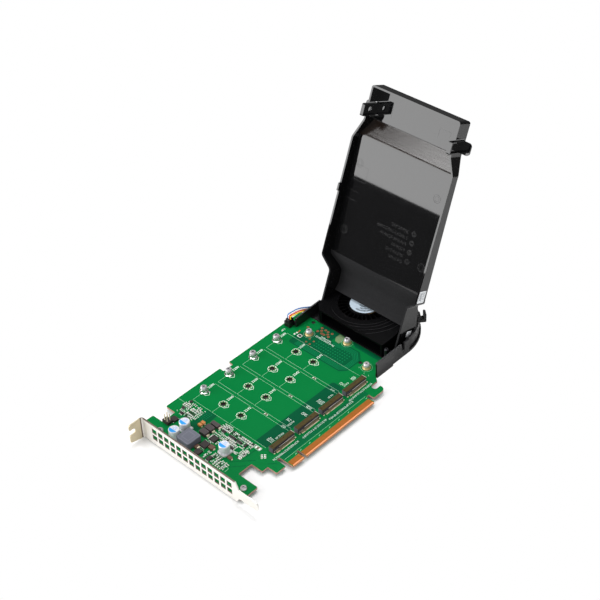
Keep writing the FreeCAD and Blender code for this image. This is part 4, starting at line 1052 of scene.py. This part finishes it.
# %% Legs
LEG_PITCH, LEG_REACH, LEG_HALF, LEG_HIGH = 1.0, 0.7, 0.18, 0.3
legs = Layer("chip_legs", TINNED)
for low, high in solids("chip_packages"):
    long_y = high.y - low.y
    number = max(2, int(long_y / LEG_PITCH))
    for step in range(number):
        y = low.y + (step + 0.5) * long_y / number
        for x0, x1 in ((low.x - LEG_REACH, low.x + OVERLAP), (high.x - OVERLAP, high.x + LEG_REACH)):
            legs.box(x0, x1, y - LEG_HALF, y + LEG_HALF, 0.0, LEG_HIGH)
legs.done()

# %% [markdown]
# ## Screw recesses
# A screw's cross recess is two millimetres across, too fine to show its depth, so a dark cross of two bars,
# painted shade of the recess, lies in the top of each head.

# %% Screw recesses
CROSS_LONG, CROSS_WIDE, CROSS_DEEP = 0.95, 0.24, 0.3
crosses = Layer("screw_recesses", RECESS)
for name in ("base_screws", "module_screws", "bracket_screws"):
    for low, high in solids(name):
        middle, top = (low + high) / 2, high.z
        for half_x, half_y in ((CROSS_LONG, CROSS_WIDE), (CROSS_WIDE, CROSS_LONG)):
            crosses.box(middle.x - half_x, middle.x + half_x, middle.y - half_y, middle.y + half_y,
                        top - CROSS_DEEP, top + 0.01)
crosses.done()

# %% [markdown]
# ## Choke
# The choke's pressed block has paler corners along its top, a painted highlight, and a faint square where
# the punch pressed. Two frames of thin bars lie on the CAD block for them.

# %% Choke edge
CHOKE_INSET, PUNCH_HALF = 0.5, 3.4
choke_low, choke_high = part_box("power_choke")
choke_low, choke_high = choke_low / MM, choke_high / MM
middle = (choke_low + choke_high) / 2
rim = Layer("choke_highlight_and_mark", FERRITE_EDGE, base=choke_high.z, thick=0.02)
rim.rectangle(choke_low.x + CHOKE_INSET, choke_high.x - CHOKE_INSET,
              choke_low.y + CHOKE_INSET, choke_high.y - CHOKE_INSET, 0.4)
rim.rectangle(middle.x - PUNCH_HALF, middle.x + PUNCH_HALF, middle.y - PUNCH_HALF, middle.y + PUNCH_HALF, 0.3)
rim.done()


# %% [markdown]
# ## Can prints
# A polymer capacitor's can carries a blue half moon over its negative lead, and here three plain bars of
# falling length beside it. The moon is one sheet whose outline is an arc of points.

# %% Can prints
CAN_TOP = 8.0
MOON_R = 3.5


def arc(x, y, radius, start, end, steps):
    """Points on a circle from one angle to another."""
    return [around(x, y, radius, start + (end - start) * step / steps) for step in range(steps + 1)]


moons = Layer("can_marks", CAN_BLUE, base=CAN_TOP)
bars = Layer("can_bars", CAN_PALE_BLUE, base=CAN_TOP)
for low, high in solids("capacitor_cans"):
    centre = (low + high) / 2
    moons.sheet(arc(centre.x, centre.y, MOON_R, 102, 258, 10))
    for x, half in ((0.3, 1.7), (1.3, 1.2), (2.3, 0.8)):
        bars.line((centre.x + x, centre.y - half), (centre.x + x, centre.y + half), 0.35)
moons.done()
bars.done()

# %% [markdown]
# ## Blower marks
# The hub label is pale blue paper with three rings of plain dark bars. The bars ride on the rotor and
# turn with it. They are about a millimetre apart on every ring, because an arc of 57.6 degrees at a
# radius of one millimetre is one millimetre long.

# %% Hub bars
BAR_PITCH = 57.6
BAR_HALF = 0.6
hub_low, hub_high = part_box("hub_label")
hub_x, hub_y = ((hub_low + hub_high) / 2 / MM).xy
bars = Layer("hub_bars", HUB_PRINT, body="rotor", base=hub_high.z / MM, thick=0.02)
for radius, start, number in ((9.4, 176, 20), (6.8, 190, 11), (4.2, 160, 6)):
    for step in range(number):
        angle = start + BAR_PITCH * step / radius
        bars.line(around(hub_x, hub_y, radius - BAR_HALF, angle),
                  around(hub_x, hub_y, radius + BAR_HALF, angle), 0.6)
bars.done()

# %% [markdown]
# The lid has low ribs, arcs round the hub painted a little paler as a highlight. The rim of the hub shows
# a painted bronze reflection only on the near side, where its edge faces the camera, so it is an arc as well.

# %% Lid ribs and hub rim
LID_TOP, HUB_RIM_Z = 11.65, 10.8
ribs = Layer("lid_ribs", FAN_HIGHLIGHT, base=LID_TOP, thick=0.08)
for radius, start, end in ((26.6, 150, 330), (29.6, 196, 318), (33.0, 212, 300), (37.0, 222, 286)):
    ribs.path(arc(hub_x, hub_y, radius, start, end, 24), 0.22)
ribs.done()
rim = Layer("hub_rim", HUB_RIM_REFLECTION, body="rotor", base=HUB_RIM_Z, thick=0.05)
rim.path(arc(hub_x, hub_y, 12.8, 232, 302, 14), 0.7)
rim.done()


# %% [markdown]
# ## Cover marks
# The mould left ejector rings, faint insert outlines and a few plain signs inside the cover. On the open
# cover they would be hard to place, so they are drawn flat, leaned onto the sloping plate, a hair proud
# of its inner face, and then turned about the hinge with it.

# %% Marks inside the cover
LIFT = -0.012
PLATE_X, PLATE_Z, PLATE_SLOPE = -15.0, 5.8, 3.5 / 99.0
EJECTORS = ((6.7, 93.1), (6.3, 19.0), (61.0, 93.4), (60.5, 17.2))
SIGN_ROWS = (18, 31, 26, 14, 18, 15)
SIGN_X, SIGN_Y, SIGN_PITCH, SIGN_HIGH = 39.5, 35.0, 4.8, 2.4
RING_X, RING_Y, RING_PITCH = 39.1, 30.5, 7.4


def on_plate():
    """The turn that leans flat marks onto the sloping plate, then swings them open."""
    lean = Matrix.Rotation(-math.atan(PLATE_SLOPE), 4, "Y")
    seat = Matrix.Translation(Vector((PLATE_X, 0, PLATE_Z + LIFT)) * MM)
    return OPEN_TURN @ seat @ lean @ Matrix.Translation(Vector((-PLATE_X, 0, 0)) * MM)


def double_ring(layer, x, y, large, small):
    """Two rings round one middle, each given by its radius, inner radius and sides."""
    for radius, inner, sides in (large, small):
        layer.disc(x, y, radius, inner=inner, sides=sides)


marks = Layer("mould_rings", COVER_MARK, body="cover", base=-0.01, thick=0.02)
for x, y in EJECTORS:
    double_ring(marks, x, y, (3.2, 2.95, 32), (1.9, 1.75, 24))
for points in ([(8, 98), (8, 84), (20, 84), (20, 98)], [(29, 99), (29, 88)], [(36, 99), (36, 88)]):
    marks.path(points, 0.12)
for row, length in enumerate(SIGN_ROWS):
    ticks(marks, SIGN_Y, SIGN_Y + length, SIGN_X + SIGN_PITCH * row, SIGN_HIGH, upright=True)
for row in range(4):
    double_ring(marks, RING_X + RING_PITCH * row, RING_Y, (1.95, 1.7, 20), (1.0, 0.8, 16))
marks.done(on_plate())

# %% [markdown]
# Two faint outlines of mould inserts lie in the cover's raised end, which is level when the cover is
# shut, so they need only the turn about the hinge.

# %% Outlines in the raised end
END_INSIDE = 11.8
end_marks = Layer("end_outlines", COVER_MARK, body="cover", base=END_INSIDE - 0.02, thick=0.02)
for near, far in ((88, 80), (26, 36)):
    end_marks.path([(-33.5, near), (-41.5, near), (-41.5, far), (-33.5, far)], 0.14)
end_marks.done(OPEN_TURN)

# %% [markdown]
# The two labels carry a few plain bars. The labels lie on the cover's near side, so the bars are boxes
# on that side, drawn shut and swung open as above.

# %% Bars on the cover labels
PRINT_X, PRINT_PITCH = 75.6, 0.55
PRINT_Y, TALL_BAR_Z = (7.27, 7.3), (2.0, 4.6)
prints = Layer("label_bars", LABEL_INK, body="cover")
for step in range(13):
    x = PRINT_X + PRINT_PITCH * step
    prints.box(x, x + (0.28 if step % 3 else 0.14), *PRINT_Y, *TALL_BAR_Z)
for z in (5.8, 6.8):
    prints.box(PRINT_X, 81.6, *PRINT_Y, z, z + 0.2)
prints.done(OPEN_TURN)

# %% [markdown]
# ## Floor
# A pale round floor lies just under the lowest point. The real card lies on white paper, whose soft
# shadows stay near it. A plain matte floor would turn grey further out and show its edge. So the camera
# sees paper only inside a rectangle round the card, and towards its sides the paper fades to pure white.

# %% Floor
FLOOR_R = 0.55
FLOOR_MIDDLE = (0.06, 0.05)
FLOOR_GAP = 0.0006
lowest = min(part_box(name)[0].z for name in NODES)
ground = bmesh.new()
bmesh.ops.create_circle(ground, cap_ends=True, segments=96, radius=FLOOR_R,
                        matrix=Matrix.Translation((*FLOOR_MIDDLE, lowest - FLOOR_GAP)))
floor_data = bpy.data.meshes.new("floor")
ground.to_mesh(floor_data)
ground.free()
floor = bpy.data.objects.new("floor", floor_data)
bpy.context.scene.collection.objects.link(floor)
print("floor at", round(lowest - FLOOR_GAP, 5))

# %% [markdown]
# The material measures how far a point is inside the rectangle: the distance to its nearest side. Over
# the last 16 mm the floor fades. Is Camera Ray keeps the fade out of mirrors and of the light that the
# floor gives back.

# %% Floor paper
SHADOW_LOW = (-0.1, -0.045, 0.0)
SHADOW_HIGH = (0.098, 0.14, 0.0)
SHADOW_FADE = 0.016
paper = bpy.data.materials.new("white_paper_floor")
paper.use_nodes = True
tree = paper.node_tree
tree.nodes.clear()
place = add(tree, "ShaderNodeTexCoord")
near = add(tree, "ShaderNodeVectorMath", [(place, "Object", 0)], {1: SHADOW_LOW}, operation="SUBTRACT")
far = add(tree, "ShaderNodeVectorMath", [(place, "Object", 1)], {0: SHADOW_HIGH}, operation="SUBTRACT")
inside = add(tree, "ShaderNodeVectorMath", [(near, "Vector", 0), (far, "Vector", 1)], operation="MINIMUM")
sides = add(tree, "ShaderNodeSeparateXYZ", [(inside, "Vector", "Vector")])
margin = add(tree, "ShaderNodeMath", [(sides, "X", 0), (sides, "Y", 1)], operation="MINIMUM")
fade = add(tree, "ShaderNodeMapRange", [(margin, "Value", "Value")],
           {"From Min": 0.0, "From Max": SHADOW_FADE, "To Min": 1.0, "To Max": 0.0})
path = add(tree, "ShaderNodeLightPath")
seen = add(tree, "ShaderNodeMath", [(fade, "Result", 0), (path, "Is Camera Ray", 1)], operation="MULTIPLY")
matte = add(tree, "ShaderNodeBsdfDiffuse", inputs={"Color": linear("#e6e6e6")})
white = add(tree, "ShaderNodeEmission", inputs={"Color": (1, 1, 1, 1), "Strength": 1.0})
both = add(tree, "ShaderNodeMixShader", [(seen, "Value", "Fac")])
tree.links.new(matte.outputs[0], both.inputs[1])
tree.links.new(white.outputs[0], both.inputs[2])
add(tree, "ShaderNodeOutputMaterial", [(both, "Shader", "Surface")])
floor_data.materials.append(paper)
floor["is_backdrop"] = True
print("floor nodes:", len(tree.nodes))

# %% [markdown]
# ## Room
# The camera sees a white room. Surfaces are lit by its soft even light. In a mirror the room has a white
# ceiling and dim walls, which keeps polished black plastic black. Light Path tells the three apart.

# %% World
ROOM_LIGHT = 0.42
WALLS, CEILING = 0.1, 1.0
CEILING_EDGE = {"From Min": 0.8, "From Max": 0.97}
world = bpy.data.worlds.new("white_room")
bpy.context.scene.world = world
world.use_nodes = True
tree = world.node_tree
tree.nodes.clear()
path = add(tree, "ShaderNodeLightPath")
toward = add(tree, "ShaderNodeTexCoord")
parts = add(tree, "ShaderNodeSeparateXYZ", [(toward, "Generated", "Vector")])
ceiling = add(tree, "ShaderNodeMapRange", [(parts, "Z", "Value")],
              {**CEILING_EDGE, "To Min": WALLS, "To Max": CEILING})
mirrored = add(tree, "ShaderNodeBackground", [(ceiling, "Result", "Strength")], {"Color": (1, 1, 1, 1)})
room = add(tree, "ShaderNodeBackground", inputs={"Color": (1, 1, 1, 1), "Strength": ROOM_LIGHT})
white = add(tree, "ShaderNodeBackground", inputs={"Color": (1, 1, 1, 1), "Strength": 1.0})
clear = add(tree, "ShaderNodeMath", [(path, "Is Camera Ray", 0), (path, "Is Transmission Ray", 1)],
            operation="MAXIMUM")
inner = add(tree, "ShaderNodeMixShader", [(path, "Is Glossy Ray", "Fac")])
tree.links.new(room.outputs[0], inner.inputs[1])
tree.links.new(mirrored.outputs[0], inner.inputs[2])
choice = add(tree, "ShaderNodeMixShader", [(clear, "Value", "Fac")])
tree.links.new(inner.outputs[0], choice.inputs[1])
tree.links.new(white.outputs[0], choice.inputs[2])
add(tree, "ShaderNodeOutputWorld", [(choice, "Shader", "Surface")])
print("world nodes:", len(tree.nodes))


# %% [markdown]
# ## Lights
# Five soft panels light the object at a plain level. The top panel and the front panel light the board
# and the bracket. The small back panel stands high behind the card and throws the short, firmer shadows
# that fall towards the camera. The tall side panel stands where the polished cover mirrors it in its
# upper third, with its lower edge just above the floor, and the cover's ramp mirrors the ramp panel.

# %% Panels
def panel(name, place, target, wide, tall, watts):
    data = bpy.data.lights.new(name, "AREA")
    data.shape = "RECTANGLE"
    data.size, data.size_y, data.energy = wide, tall, watts
    light = bpy.data.objects.new(name, data)
    light.location = place
    light.rotation_euler = (Vector(target) - Vector(place)).to_track_quat("-Z", "Y").to_euler()
    bpy.context.scene.collection.objects.link(light)


CARD_MIDDLE = (0.06, 0.05, 0.03)
SIDE_HIGH = 0.573
panel("top_panel", (0.2, 0.2, 1.5), CARD_MIDDLE, 1.3, 1.3, 10.5)
panel("back_panel", (0.5, 0.4, 1.25), CARD_MIDDLE, 0.22, 0.22, 5.5)
panel("front_panel", (-1.0, -1.0, 0.7), CARD_MIDDLE, 1.2, 0.9, 7)
panel("side_panel", (-1.5, 1.1, SIDE_HIGH), (0.1, 0.1, SIDE_HIGH), 2.0, 1.0, 38)
panel("ramp_panel", (-0.69, 0.74, 1.2), (0.17, 0.03, 0.12), 0.4, 0.4, 4.5)
print("panels:", len(bpy.data.lights))

# %% [markdown]
# ## Camera
# A long lens from the bracket's side, turned a little about its own axis as in the photograph. Its place
# and angles were found from points on the board whose real places are known.

# %% Camera
CAMERA_PLACE = (-0.46585, -0.48132, 0.67661)
CAMERA_DEGREES = (51.763, 1.789, -47.114)
camera_data = bpy.data.cameras.new("camera")
camera_data.sensor_width = 36.0
camera_data.lens = 81.73
camera_data.shift_x = -0.0300
camera_data.shift_y = -0.0322
camera_data.clip_start = 0.01
camera_data.clip_end = 20.0
camera = bpy.data.objects.new("camera", camera_data)
camera.location = CAMERA_PLACE
camera.rotation_euler = [math.radians(angle) for angle in CAMERA_DEGREES]
bpy.context.scene.collection.objects.link(camera)
bpy.context.scene.camera = camera
bpy.context.scene.view_settings.view_transform = "Standard"
print("lens:", camera_data.lens, "mm")

# %% [markdown]
# ## Sizes
# The box of the dressed model is measured. It has to be the same as that of the CAD parts alone,
# because marks and fine parts must not make the object larger.

# %% Size of the dressed model
low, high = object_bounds()
